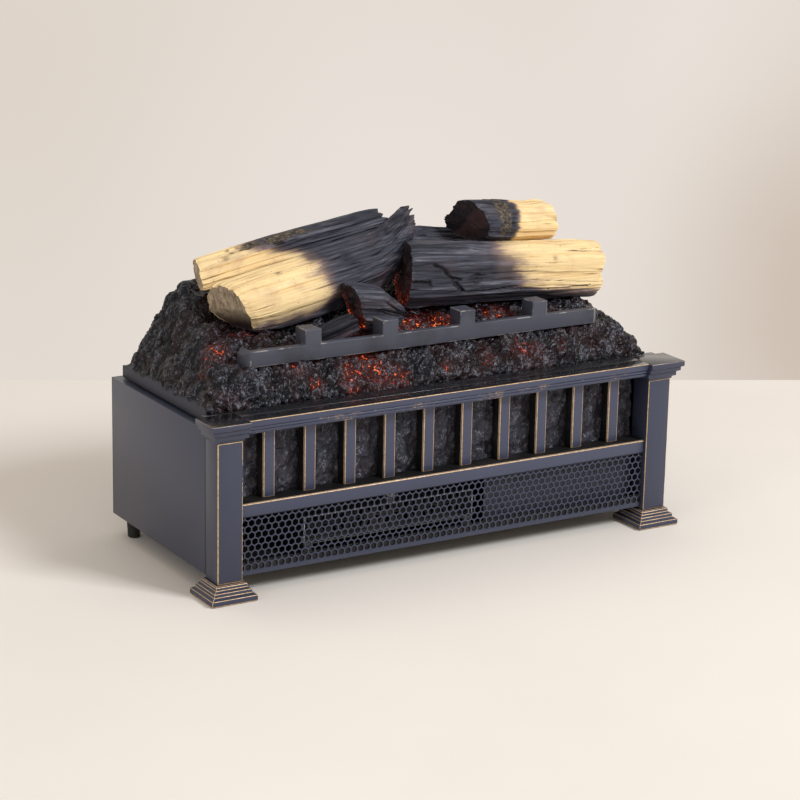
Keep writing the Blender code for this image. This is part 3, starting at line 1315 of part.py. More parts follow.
def make_blower_rotor():
    y = at(BLOWER_SETBACK)
    z = BLOWER_HEIGHT
    axis = empty("blower_axis", (0, y, z))
    left = SCROLL_WALL + ROTOR_END_GAP - DUCT_LEFT
    right = DUCT_RIGHT - SCROLL_WALL - ROTOR_END_GAP
    rotor = rod((left, y, z), (left + ROTOR_DISC, y, z), ROTOR_RADIUS, ROUND_STEPS)
    turns = [2 * math.pi * blade / ROTOR_BLADES for blade in range(ROTOR_BLADES)]
    length = right - left - ROTOR_DISC
    blades = solid(plate([blade_outline(turn) for turn in turns], length, ((left + right) / 2, y, z), "yz"))
    join(rotor, blades)
    join(rotor, rod((right - ROTOR_DISC, y, z), (right, y, z), ROTOR_RADIUS, ROUND_STEPS))
    tail = -DUCT_LEFT - SEAT_GAP - BUSH_FLANGE - SHAFT_STUB / 2
    join(rotor, rod((tail, y, z), (right + SHAFT_STUB, y, z), SHAFT_RADIUS))
    keep(rotor, "blower_rotor", ALUMINIUM, axis)


def make_rotor_bearing():
    """A flanged bush outside the scroll's left end, with its body in the end plate's hole."""
    bore = SHAFT_RADIUS + SHAFT_FIT
    top = BUSH_FLANGE
    low = -(SEAT_GAP + BUSH_DEPTH)
    profile = [(BUSH_FLANGE_RADIUS, top), (BUSH_FLANGE_RADIUS, 0), (BUSH_RADIUS, 0), (BUSH_RADIUS, low)]
    profile += [(bore, low), (bore, top)]
    bush = turned(profile, steps=MIDDLE_STEPS, closed=True)
    bush.location = (-DUCT_LEFT - SEAT_GAP, at(BLOWER_SETBACK), BLOWER_HEIGHT)
    bush.rotation_euler = (0, math.radians(-90), 0)
    keep(bush, "rotor_bearing", WHITE_PLASTIC, smooth=True)


def make_blower_motor():
    """A small motor against the scroll's right end, its boss reaching through to the rotor's shaft."""
    face = DUCT_RIGHT + SEAT_GAP
    shaft_end = DUCT_RIGHT - SCROLL_WALL - ROTOR_END_GAP + SHAFT_STUB
    boss = face - shaft_end - SEAT_GAP
    edge = MOTOR_RADIUS / 12
    profile = [
        (0, MOTOR_LENGTH + MOTOR_REAR_BOSS), (MOTOR_BOSS_RADIUS, MOTOR_LENGTH + MOTOR_REAR_BOSS),
        (MOTOR_BOSS_RADIUS, MOTOR_LENGTH), (MOTOR_RADIUS - edge, MOTOR_LENGTH), (MOTOR_RADIUS, MOTOR_LENGTH - edge),
        (MOTOR_RADIUS, edge), (MOTOR_RADIUS - edge, 0), (MOTOR_BOSS_RADIUS, 0), (MOTOR_BOSS_RADIUS, -boss), (0, -boss),
    ]
    motor = turned(profile, steps=ROUND_STEPS)
    motor.location = (face, at(BLOWER_SETBACK), BLOWER_HEIGHT)
    motor.rotation_euler = TURN_TO_X
    keep(motor, "blower_motor", GREY_STEEL, smooth=True)


def make_thermal_cutout():
    low = DUCT_BOTTOM + DUCT_HEIGHT + SEAT_GAP
    top = CUTOUT_HEIGHT + CUTOUT_CAP
    cap = CUTOUT_RADIUS / 2
    profile = [(0, top), (cap, top), (cap, CUTOUT_HEIGHT), (CUTOUT_RADIUS, CUTOUT_HEIGHT), (CUTOUT_RADIUS, 0), (0, 0)]
    cutout = turned(profile, steps=MIDDLE_STEPS)
    cutout.location = (-DUCT_WIDTH / 4, at(DUCT_SETBACK + DUCT_DEPTH / 2), low)
    keep(cutout, "thermal_cutout", CERAMIC, smooth=True)


def make_control_board():
    left = BOARD_LEFT
    right = left + BOARD_WIDTH
    front = at(BOARD_SETBACK)
    rear = front + BOARD_DEPTH
    low = PAN_SEAT + BOARD_STANDOFF
    top = low + BOARD_THICKNESS
    middle = (low + top) / 2
    board = box((left, front, low), (right, rear, top))
    width = BOARD_STANDOFF_WIDTH
    legs = [
        ((x, y, PAN_SEAT), (x + width, y + width, middle))
        for x in (left + SHEET, right - SHEET - width)
        for y in (front + SHEET, rear - SHEET - width)
    ]
    join(board, boxes(legs))
    relays = [
        ((x, y, middle), (x + RELAY_WIDTH, y + RELAY_DEPTH, top + RELAY_HEIGHT))
        for x in (left + RELAY_WIDTH / 2, left + RELAY_WIDTH * 2)
        for y in (front + RELAY_DEPTH / 2, front + RELAY_DEPTH * 2)
    ]
    join(board, boxes(relays))
    keep(board, "control_board", GREEN_BOARD)


def make_terminal_block():
    left = TERMINAL_LEFT
    right = left + TERMINAL_WIDTH
    front = at(TERMINAL_SETBACK)
    rear = front + TERMINAL_DEPTH
    top = PAN_SEAT + TERMINAL_HEIGHT
    block = box((left, front, PAN_SEAT), (right, rear, top))
    pitch = TERMINAL_WIDTH / 3
    slots = [
        (
            (left + pitch * (step + 1 / 2) - TERMINAL_SLOT / 2, front - OVERRUN, top - TERMINAL_SLOT),
            (left + pitch * (step + 1 / 2) + TERMINAL_SLOT / 2, rear + OVERRUN, top + OVERRUN),
        )
        for step in range(3)
    ]
    keep(cut(block, boxes(slots)), "terminal_block", WHITE_PLASTIC)


# Light chamber
def make_light_divider():
    half = CHAMBER_HALF_WIDTH
    low = DIVIDER_TOP - DIVIDER_FLANGE
    outline = [
        (-half, low), (SHEET - half, low), (SHEET - half, DIVIDER_BOTTOM), (half - SHEET, DIVIDER_BOTTOM),
        (half - SHEET, low), (half, low), (half, DIVIDER_TOP), (-half, DIVIDER_TOP),
    ]
    depth = CHAMBER_REAR_SETBACK - CHAMBER_FRONT_SETBACK
    place = (0, at(CHAMBER_FRONT_SETBACK + depth / 2), 0)
    keep(plate([outline], depth, place, "xz"), "light_divider", BARE_STEEL)


def make_led_board():
    half = LAMP_BOARD_WIDTH / 2
    front = at(LAMP_BOARD_SETBACK)
    top = DIVIDER_SEAT + LAMP_BOARD_THICKNESS
    middle = DIVIDER_SEAT + LAMP_BOARD_THICKNESS / 2
    board = box((-half, front, DIVIDER_SEAT), (half, front + LAMP_BOARD_DEPTH, top))
    pitch = LAMP_BOARD_WIDTH / LAMP_COUNT
    lamp_front = front + (LAMP_BOARD_DEPTH - LAMP_SIDE) / 2
    lamps = []
    for index in range(LAMP_COUNT):
        left = pitch * (index - (LAMP_COUNT - 1) / 2) - LAMP_SIDE / 2
        lamps.append(((left, lamp_front, middle), (left + LAMP_SIDE, lamp_front + LAMP_SIDE, top + LAMP_HEIGHT)))
    keep(join(board, boxes(lamps)), "led_board", WHITE_PLASTIC)


def make_flicker_spindle():
    """A rod with bent reflector blades set round it, each turned on from the one before."""
    y = at(SPINDLE_SETBACK)
    z = SPINDLE_HEIGHT
    axis = empty("spindle_axis", (0, y, z))
    left = -SPINDLE_LEFT
    right = left + SPINDLE_LENGTH
    spindle = rod((left - SPINDLE_TAIL, y, z), (right, y, z), SPINDLE_RADIUS)
    pitch = SPINDLE_LENGTH / PADDLE_COUNT

    def build(shape):
        for index in range(PADDLE_COUNT):
            made = bmesh.ops.create_cube(shape, size=1)["verts"]
            bmesh.ops.scale(shape, vec=(PADDLE_WIDTH, PADDLE_THICKNESS, 2 * PADDLE_REACH), verts=made)
            turn = Matrix.Rotation(math.radians(PADDLE_TURN * index), 3, "X")
            bmesh.ops.rotate(shape, verts=made, cent=(0, 0, 0), matrix=turn)
            bmesh.ops.translate(shape, vec=(left + pitch * (index + 1 / 2), 0, 0), verts=made)

    paddles = mesh_object("paddles", build)
    paddles.location = (0, y, z)
    keep(join(spindle, paddles), "flicker_spindle", ALUMINIUM, axis)


def make_flicker_motor():
    y = at(SPINDLE_SETBACK)
    z = SPINDLE_HEIGHT
    start = SPINDLE_LENGTH - SPINDLE_LEFT + SEAT_GAP
    boss_radius = 2 * SPINDLE_RADIUS
    face = FLICKER_MOTOR_BOSS
    rear = FLICKER_MOTOR_BOSS + FLICKER_MOTOR_DEPTH
    profile = [
        (0, rear), (FLICKER_MOTOR_RADIUS, rear), (FLICKER_MOTOR_RADIUS, face), (boss_radius, face),
        (boss_radius, 0), (0, 0),
    ]
    motor = turned(profile, steps=ROUND_STEPS)
    motor.location = (start, y, z)
    motor.rotation_euler = TURN_TO_X
    back = start + rear
    bracket = box(
        (back - BRACKET_SHEET / 2, y - BRACKET_WIDTH / 2, DIVIDER_SEAT),
        (back + BRACKET_SHEET, y + BRACKET_WIDTH / 2, z + FLICKER_MOTOR_RADIUS),
    )
    foot = box(
        (back, y - BRACKET_WIDTH / 2 + SHEET, DIVIDER_SEAT),
        (back + BRACKET_FOOT, y + BRACKET_WIDTH / 2 - SHEET, DIVIDER_SEAT + BRACKET_SHEET),
    )
    keep(join(motor, bracket, foot), "flicker_motor", GREY_STEEL)


def make_spindle_bearing():
    y = at(SPINDLE_SETBACK)
    z = SPINDLE_HEIGHT
    half = BEARING_BRACKET_WIDTH / 2
    x = -SPINDLE_LEFT - BRACKET_SHEET
    top = z + half
    loops = [rectangle(y - half, DIVIDER_SEAT, y + half, top), circle(y, z, SPINDLE_RADIUS + SHAFT_FIT, MIDDLE_STEPS)]
    bracket = solid(plate(loops, BRACKET_SHEET, (x, 0, 0), "yz"))
    foot = box(
        (x - BRACKET_FOOT, y - half + SHEET, DIVIDER_SEAT), (x, y + half - SHEET, DIVIDER_SEAT + BRACKET_SHEET)
    )
    keep(join(bracket, foot), "spindle_bearing", GREY_STEEL)


# Rear fittings
def make_cord_gland():
    """A bush that grips the rear panel between its outer flange and its nut, with a bore for the cord."""
    outer = SEAT_GAP
    inner = -(SHEET + SEAT_GAP)
    nose = (GLAND_NOSE_RADIUS, GLAND_PROUD)
    profile = [
        nose, (GLAND_FLANGE_RADIUS - GLAND_FLANGE / 2, outer + GLAND_FLANGE),
        (GLAND_FLANGE_RADIUS, outer + GLAND_FLANGE / 2), (GLAND_FLANGE_RADIUS, outer),
        (GLAND_NECK_RADIUS, outer), (GLAND_NECK_RADIUS, inner), (GLAND_FLANGE_RADIUS, inner),
        (GLAND_FLANGE_RADIUS, inner - GLAND_NUT), (GLAND_BORE_RADIUS, inner - GLAND_NUT),
        (GLAND_BORE_RADIUS, GLAND_PROUD),
    ]
    gland = turned(profile, steps=MIDDLE_STEPS, closed=True)
    gland.location = (GLAND_PLACE, REAR_Y, GLAND_HEIGHT)
    gland.rotation_euler = TURN_TO_BACK
    keep(gland, "cord_gland", BLACK_PLASTIC, smooth=True)


def rocker_centres():
    middle = SWITCH_PLATE_LEFT + SWITCH_PLATE_WIDTH / 2
    return [middle + ROCKER_PITCH * (index - (ROCKER_COUNT - 1) / 2) for index in range(ROCKER_COUNT)]


def rocker_axis_y():
    return REAR_Y + SWITCH_PLATE_PROUD - ROCKER_DISH


def make_control_plate():
    """A moulded switch housing: a rim outside the rear panel, a box behind it, a pocket for each rocker."""
    outer = REAR_Y + SWITCH_PLATE_PROUD
    housing = switch_block(0, REAR_Y + SEAT_GAP, outer)
    join(housing, switch_block(SWITCH_PLATE_RIM, REAR_Y - SWITCH_BOX_DEPTH, outer - SEAT_GAP))
    half_width = ROCKER_WIDTH / 2 + ROCKER_SIDE_GAP
    half_height = ROCKER_REACH + ROCKER_END_GAP
    middle = SWITCH_PLATE_BOTTOM + SWITCH_PLATE_HEIGHT / 2
    pocket_low = REAR_Y - SWITCH_BOX_DEPTH + SWITCH_BOX_WALL
    pockets = [
        (
            (x - half_width, pocket_low, middle - half_height),
            (x + half_width, outer + OVERRUN, middle + half_height),
        )
        for x in rocker_centres()
    ]
    keep(cut(housing, boxes(pockets)), "control_plate", BLACK_PLASTIC)


def rocker_outline():
    """The rocker from its side, about its pivot: a shallow V outside, ends rounded about the pivot."""
    spread = math.degrees(math.asin(ROCKER_PROUD / ROCKER_REACH))
    depth_spread = math.degrees(math.asin(ROCKER_DEPTH / ROCKER_REACH))
    upper = arc(0, 0, ROCKER_REACH, 90 + depth_spread, 90 - spread, ROCKER_ARC_POINTS)
    lower = [(y, -z) for y, z in reversed(upper)]
    return upper + [(ROCKER_DISH, 0)] + lower


def make_rockers():
    """Each rocker rests with its upper end out, which is its off position."""
    middle = SWITCH_PLATE_BOTTOM + SWITCH_PLATE_HEIGHT / 2
    names = ("power_rocker", "low_heat_rocker", "high_heat_rocker")
    for name, x in zip(names, rocker_centres()):
        axis = empty(name + "_axis", (x, rocker_axis_y(), middle))
        rocker = plate([rocker_outline()], ROCKER_WIDTH, (0, 0, 0), "yz")
        tilt = Matrix.Rotation(math.radians(-ROCKER_TRAVEL), 4, "X")
        rocker.matrix_basis = Matrix.Translation(axis.location) @ tilt @ rocker.matrix_basis
        keep(rocker, name, BLACK_PLASTIC, axis)


def main():
    for side, word in ((-1, "left"), (1, "right")):
        make_side_panel(word + "_side_panel", side)
        make_post(word + "_post", side)
        make_plinth(word + "_plinth", side)
        make_capital(word + "_capital", side)
        make_foot("rear_foot_" + word, side)
    make_base_pan()
    make_rear_panel()
    make_top_rail()
    make_top_shelf()
    make_mid_rail()
    make_slats()
    make_outlet_grille()
    make_front_ember_panel()
    grate = make_grate()
    logs = make_logs()
    make_ember_bed([grate] + logs)
    make_heater_frame()
    make_baffle_plate()
    make_heater_core()
    make_scroll_housing()
    make_blower_rotor()
    make_rotor_bearing()
    make_blower_motor()
    make_thermal_cutout()
    make_control_board()
    make_terminal_block()
    make_light_divider()
    make_led_board()
    make_flicker_spindle()
    make_flicker_motor()
    make_spindle_bearing()
    make_cord_gland()
    make_control_plate()
    make_rockers()
    places = [(x, z) for z in screw_heights() for x in (-screw_x(), screw_x())]
    for index, (x, z) in enumerate(places):
        make_screw(f"rear_screw_{index + 1}", x, z)


main()
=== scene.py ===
"""Looks of the electric log heater: worn gunmetal frame, glowing coals, moulded logs, fine grille.

Metres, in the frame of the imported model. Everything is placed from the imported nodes' boxes."""

import math

import bmesh
import bpy
from mathutils import Matrix, Vector, noise
from mathutils.bvhtree import BVHTree


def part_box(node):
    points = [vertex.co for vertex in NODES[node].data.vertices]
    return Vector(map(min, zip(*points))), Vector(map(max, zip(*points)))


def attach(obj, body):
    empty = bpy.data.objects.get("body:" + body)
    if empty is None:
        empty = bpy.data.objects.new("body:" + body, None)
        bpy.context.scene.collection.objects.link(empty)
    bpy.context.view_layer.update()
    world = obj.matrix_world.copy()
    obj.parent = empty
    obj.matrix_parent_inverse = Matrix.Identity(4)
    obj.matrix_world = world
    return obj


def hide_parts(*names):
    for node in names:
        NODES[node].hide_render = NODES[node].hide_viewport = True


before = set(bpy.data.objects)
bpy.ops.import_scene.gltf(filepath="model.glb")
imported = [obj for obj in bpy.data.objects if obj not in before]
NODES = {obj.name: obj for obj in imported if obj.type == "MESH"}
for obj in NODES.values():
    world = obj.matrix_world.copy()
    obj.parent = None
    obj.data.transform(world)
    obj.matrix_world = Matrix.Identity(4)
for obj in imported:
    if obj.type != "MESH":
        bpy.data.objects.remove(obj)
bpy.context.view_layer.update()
MM = 0.001

# Camera, fitted to the photograph's corner posts and case edges
CAMERA_AZIMUTH = -31.10
CAMERA_ELEVATION = 15.86
CAMERA_ROLL = 1.21
CAMERA_TARGET = Vector((-0.00338, -0.01515, 0.13677))
CAMERA_DISTANCE = 2.490
FOCAL_PIXELS = 2553.4
IMAGE_PIXELS = 800
SENSOR_WIDTH = 36.0
HORIZON_ROW = 380

# Stage, as linear colours
FLOOR_COLOUR = (0.85, 0.825, 0.785)
WALL_COLOUR = (0.78, 0.715, 0.655)
WALL_BRIGHT = (0.83, 0.765, 0.71)
WALL_SHADE = (0.56, 0.46, 0.375)
SKY_LIGHT = (1.0, 0.88, 0.765)
SKY_STRENGTH = 0.61
FLOOR_REACH = 6.0
FLOOR_MOTTLE = 0.96

# Lamps: name, place, size, watts, colour
LAMPS = (
    ("key", (2.0, -3.7, 3.4), 1.4, 190.0, (0.98, 0.985, 1.0)),
    ("side", (-2.6, -1.0, 1.5), 1.4, 6.5, (0.78, 0.88, 1.0)),
    ("back", (-0.2, 1.3, 3.2), 1.6, 6.0, (0.95, 0.97, 1.0)),
)
LAMP_AIM = Vector((0, 0, 0.12))

# Edges and faces of the painted metal: angles in degrees, and shares of a face's normal
WELD = 0.02 * MM
SHARP_ANGLE = 20.0
METAL_ANGLE = 35
LOWER_EDGES = 2.5 * MM
RIGHTWARD = 0.25
LEVEL = 0.95
TOP_SKIN = 1.2 * MM
SIDEWAYS = 0.9
STEEPEST_TREAD = 0.30
LEVEL_TREAD = 0.9999
FLAT_ANGLE = 0.6


# Shader sums and materials
class Wire:
    """A shader socket that takes part in Python sums; each sum adds a Math node."""

    def __init__(self, finish, socket):
        self.finish = finish
        self.socket = socket

    def sum_of(self, operation, first, second):
        return self.finish.node("ShaderNodeMath", {"operation": operation}, {0: first, 1: second})

    def __add__(self, other):
        return self.sum_of("ADD", self, other)

    def __sub__(self, other):
        return self.sum_of("SUBTRACT", self, other)

    def __mul__(self, other):
        return self.sum_of("MULTIPLY", self, other)

    def __rsub__(self, other):
        return self.sum_of("SUBTRACT", other, self)

    __radd__ = __add__
    __rmul__ = __mul__

    def least(self, other):
        return self.sum_of("MINIMUM", self, other)

    def most(self, other):
        return self.sum_of("MAXIMUM", self, other)


class Patterns:
    """Makes nodes in a node tree. Pattern scales are per metre, stretches are for each axis."""

    def __init__(self, tree, place):
        self.tree = tree
        self.here = self.node("ShaderNodeTexCoord", {}, {}, place)

    def node(self, kind, settings, sockets, output=0):
        """A node from its type, its settings, its sockets' values or links and the output that is used."""
        made = self.tree.nodes.new(kind)
        for name, value in settings.items():
            if name == "stops":
                self.set_stops(made.color_ramp, value)
            else:
                setattr(made, name, value)
        for place, value in sockets.items():
            self.feed(made.inputs[place], value)
        return Wire(self, made.outputs[output])

    def set_stops(self, ramp, stops):
        while len(ramp.elements) < len(stops):
            ramp.elements.new(1)
        for element, (place, colour) in zip(ramp.elements, stops):
            element.position = place
            element.color = (*colour, 1)

    def feed(self, socket, value):
        if isinstance(value, Wire):
            self.tree.links.new(value.socket, socket)
        elif socket.type == "RGBA" and len(value) == 3:
            socket.default_value = (*value, 1)
        else:
            socket.default_value = value

    def place(self, stretch):
        """The place in the pattern, each axis times its stretch."""
        if stretch is None:
            return self.here
        return self.node("ShaderNodeVectorMath", {"operation": "MULTIPLY"}, {0: self.here, 1: stretch})

    def cloud(self, scale, detail=3.0, roughness=0.55, distortion=0.0, stretch=None):
        sockets = {"Scale": scale, "Detail": detail, "Roughness": roughness, "Distortion": distortion}
        return self.node("ShaderNodeTexNoise", {}, {"Vector": self.place(stretch), **sockets})

    def cells(self, scale, feature="F1", stretch=None):
        sockets = {"Vector": self.place(stretch), "Scale": scale}
        return self.node("ShaderNodeTexVoronoi", {"feature": feature}, sockets, "Distance")

    def step(self, value, low, high):
        """Zero below the low value, one above the high one, smooth between."""
        sockets = {"Value": value, "From Min": low, "From Max": high}
        return self.node("ShaderNodeMapRange", {"interpolation_type": "SMOOTHSTEP"}, sockets)

    def mix(self, share, first, second):
        return self.node("ShaderNodeMix", {"data_type": "RGBA"}, {0: share, 6: first, 7: second}, 2)

    def ramp(self, value, stops):
        return self.node("ShaderNodeValToRGB", {"stops": stops}, {"Fac": value})


class Finish(Patterns):
    """A material in the making. Its shader's own sockets are filled by keyword at the end."""

    def __init__(self, name):
        self.material = bpy.data.materials.new(name)
        self.material.use_nodes = True
        super().__init__(self.material.node_tree, "Object")
        self.shader = self.tree.nodes["Principled BSDF"]

    def shade(self, name):
        """A value that the mesh carries for each corner or point."""
        return self.node("ShaderNodeAttribute", {"attribute_name": name}, {}, "Fac")

    def bump(self, height, distance, strength=1.0):
        return self.node("ShaderNodeBump", {}, {"Height": height, "Distance": distance, "Strength": strength})

    def done(self, **sockets):
        for name, value in sockets.items():
            self.feed(self.shader.inputs[name.replace("_", " ")], value)
        return self.material


# Colours of the finishes, linear; tones are ramp stops from dark to light places
PAINT_TONES = ((0.25, (0.031, 0.038, 0.072)), (0.55, (0.036, 0.044, 0.082)), (0.85, (0.043, 0.052, 0.092)))
PAINT_SHEEN = (0.11, 0.115, 0.14)
BRASS_TONES = ((0.30, (0.40, 0.26, 0.13)), (0.55, (0.62, 0.44, 0.25)), (0.80, (0.74, 0.57, 0.36)))
GLOSS_BLACK = (0.010, 0.011, 0.015)
GLOSS_DUST = (0.09, 0.09, 0.10)
IRON_PAINT = (0.052, 0.057, 0.084)
IRON_SOOT = (0.030, 0.032, 0.046)
IRON_RUBBED = (0.28, 0.27, 0.27)
COAL_CRESTS = ((0.0050, 0.0055, 0.0080), (0.021, 0.0095, 0.0100))
# Creases are coloured darker than crests: painted shade in the coals' creases
COAL_SHADED_CREASES = ((0.0018, 0.0017, 0.0022), (0.0110, 0.0032, 0.0030))
# The lift mixes coals towards this lighter colour: painted light for coals that sit in shade
COAL_PAINTED_LIGHT = (0.075, 0.076, 0.098)
# Red-brown painted glow light on the coals near a glow
COAL_PAINTED_GLOW_SPILL = (0.034, 0.0075, 0.0055)
# Pale bluish painted highlights along the coals' ridges and crests
COAL_PAINTED_GLINT = (0.190, 0.200, 0.250)
COAL_SKIRT = ((0.030, 0.032, 0.046), (0.045, 0.048, 0.064))
COAL_FIRE = (
    (0.0, (0.0, 0.0, 0.0)), (0.10, (0.022, 0.002, 0.001)), (0.35, (0.35, 0.028, 0.006)), (0.70, (1.0, 0.14, 0.020)),
    (1.0, (1.0, 0.38, 0.09)),
)
WOOD_TAN = (
    (0.28, (0.54, 0.37, 0.18)), (0.40, (0.78, 0.58, 0.30)), (0.55, (0.88, 0.69, 0.38)), (0.75, (0.93, 0.77, 0.47)),
)
WOOD_BROWN = (0.56, 0.37, 0.24)
WOOD_GREY_BAND = (0.40, 0.30, 0.24)
WOOD_FINE_LINE = (0.22, 0.14, 0.08)
WOOD_GROOVE = (0.10, 0.070, 0.048)
WOOD_PIT = (0.10, 0.07, 0.05)
CHAR_TONES = (
    (0.34, (0.011, 0.011, 0.018)), (0.48, (0.036, 0.037, 0.052)), (0.60, (0.072, 0.074, 0.098)),
    (0.74, (0.170, 0.170, 0.205)),
)
CHAR_BROWN = (0.085, 0.048, 0.040)
CHAR_GROOVE = (0.010, 0.0095, 0.013)
SCORCH = ((0.13, 0.095, 0.085), (0.30, 0.205, 0.175))
MOSS = ((0.36, (0.016, 0.014, 0.013)), (0.50, (0.060, 0.050, 0.036)), (0.62, (0.16, 0.125, 0.080)))
BURNT_CUT = ((0.013, 0.011, 0.014), (0.044, 0.024, 0.025))
BURNT_SAW_MARKS = (0.042, 0.027, 0.026)
PALE_CUT = ((0.35, (0.20, 0.155, 0.105)), (0.50, (0.36, 0.29, 0.205)), (0.65, (0.50, 0.41, 0.30)))
WOOD_FIRE = (
    (0.0, (0.0, 0.0, 0.0)), (0.4, (0.08, 0.008, 0.003)), (0.8, (0.9, 0.13, 0.02)), (1.0, (1.0, 0.26, 0.05)),
)
COOL_TINT = (0.80, 0.87, 1.0, 1.0)
COAL_DRAW = (1.0, 1.0, 0.6)
WOOD_GLOW = 1.2


def painted_steel(name, painted_lift):
    """Satin gunmetal paint, rubbed through to a brassy tan along its edges."""
    finish = Finish(name)
    edge = finish.shade("edge")
    patches = finish.cloud(48.0, 4.0, 0.6)
    scuffs = finish.cloud(420.0, 2.0)
    rubbed = finish.step(edge + 0.75 * (patches - 0.5) + 0.30 * (scuffs - 0.5), 0.60, 0.76)
    broad = finish.cloud(6.0, 3.0)
    brushed = finish.cloud(900.0, 2.0, stretch=(1.0, 1.0, 0.12))
    # The lift scales the paint's tones; above one it paints the whole finish lighter, as painted light
    paint = finish.ramp(broad, [(place, tuple(painted_lift * part for part in colour)) for place, colour in PAINT_TONES])
    paint = finish.mix(0.10 * brushed, paint, PAINT_SHEEN)
    orange_peel = finish.cloud(800.0, 2.0)
    return finish.done(
        Base_Color=finish.mix(rubbed, paint, finish.ramp(scuffs, BRASS_TONES)),
        Roughness=0.30 + 0.12 * broad + 0.08 * brushed + 0.10 * rubbed,
        Metallic=0.25 + 0.10 * rubbed,
        Normal=finish.bump(orange_peel + 2.0 * rubbed, 0.00006, 0.5),
        Coat_Weight=0.15,
        Coat_Roughness=0.2,
    )


def black_gloss():
    """Smooth black enamel with faint smears and dust."""
    finish = Finish("black_gloss_paint")
    smears = finish.cloud(60.0, 4.0, stretch=(0.3, 1.0, 1.0))
    dust = finish.step(finish.cloud(1500.0, 1.0), 0.68, 0.80)
    return finish.done(
        Base_Color=finish.mix(0.25 * dust, GLOSS_BLACK, GLOSS_DUST),
        Roughness=0.20 + 0.08 * smears + 0.2 * dust,
        Normal=finish.bump(finish.cloud(260.0, 2.0), 0.00002, 0.3),
        Coat_Weight=0.5,
        Coat_Roughness=0.08,
        Metallic=0.35,
    )


def grate_iron():
    """Dark satin iron paint over a faint casting skin, with thin rubbed edges."""
    finish = Finish("grate_iron")
    edge = finish.shade("edge")
    patches = finish.cloud(70.0, 3.0)
    skin = finish.cloud(700.0, 3.0)
    rubbed = edge * finish.step(patches, 0.50, 0.62)
    soot = finish.step(finish.cloud(28.0, 3.0), 0.45, 0.75)
    body = finish.mix(soot, IRON_PAINT, IRON_SOOT)
    return finish.done(
        Base_Color=finish.mix(0.75 * rubbed, body, IRON_RUBBED),
        Roughness=0.46 + 0.16 * skin,
        Metallic=0.15,
        Normal=finish.bump(skin, 0.00010, 0.6),
    )


def coal_skin(name, glow_strength, glow_spill, painted_glint, painted_lift):
    """Moulded coals: glossy black shards with thin pale ridges of painted highlight, painted shade in their creases,
    red-brown painted glow light in the hollows near a glow, a painted lift towards a lighter colour for coals in
    shade, and short glowing threads and sparks where the mesh says so."""
    finish = Finish(name)
    hollow = finish.shade("hollow")
    glow = finish.shade("glow")
    bare = finish.shade("bare")
    crumbs = finish.cells(300.0, stretch=COAL_DRAW)
    grit = finish.cloud(300.0, 3.0, 0.6, stretch=COAL_DRAW)
    broad = finish.cloud(34.0, 3.0)
    blend = finish.step(broad, 0.42, 0.60)
    crests = finish.mix(blend, *COAL_CRESTS)
    shaded_creases = finish.mix(blend, *COAL_SHADED_CREASES)
    coal = finish.mix(painted_lift, finish.mix(finish.step(hollow, 0.25, 0.75), crests, shaded_creases), COAL_PAINTED_LIGHT)
    near = finish.step(glow, 0.02, 0.7)
    glow_spilled = finish.mix(near * glow_spill, coal, COAL_PAINTED_GLOW_SPILL)
    fold = finish.cloud(110.0, 4.0, 0.62, 0.9, stretch=COAL_DRAW) - 0.5
    crinkle = finish.cloud(200.0, 3.0, 0.6, 0.9, stretch=COAL_DRAW) - 0.5
    ridges = finish.step(fold * fold, 0.0007, 0.0).most(0.75 * finish.step(crinkle * crinkle, 0.0008, 0.0))
    ridges = ridges * finish.step(grit, 0.44, 0.60)
    # The rims and ridges carry painted highlights in the base colour
    rims = 0.10 * finish.step(0.34 - hollow + 0.5 * (grit - 0.5), 0.0, 0.26)
    rims = rims.most(ridges * finish.step(0.85 - hollow, 0.0, 0.35))
    glinted = finish.mix(rims * painted_glint, glow_spilled, COAL_PAINTED_GLINT)
    threads = finish.cells(150.0, "DISTANCE_TO_EDGE", stretch=COAL_DRAW)
    broken = finish.cloud(260.0, 3.0, 0.6)
    sparks = finish.cells(230.0)
    lines = finish.step(0.07 - threads, 0.0, 0.06) * finish.step(broken, 0.50, 0.64)
    points = finish.step(0.22 - sparks, 0.0, 0.14) * finish.step(broken, 0.48, 0.62)
    deep = finish.step(hollow, 0.30, 0.75)
    lit = glow * (0.10 * deep + 1.15 * lines.most(points) * (0.45 + 0.55 * deep)) * (1.0 - bare)
    relief = crumbs * 0.7 + grit * 0.9 + ridges * 0.5
    return finish.done(
        Base_Color=finish.mix(bare, glinted, finish.mix(0.3 * broad, *COAL_SKIRT)),
        Roughness=0.12 + 0.22 * grit + 0.20 * bare,
        Specular_IOR_Level=0.22,
        Specular_Tint=COOL_TINT,
        Normal=finish.bump(relief * (1.0 - 0.97 * bare), 0.0011, 0.7),
        Emission_Color=finish.ramp(lit, COAL_FIRE),
        Emission_Strength=glow_strength,
    )


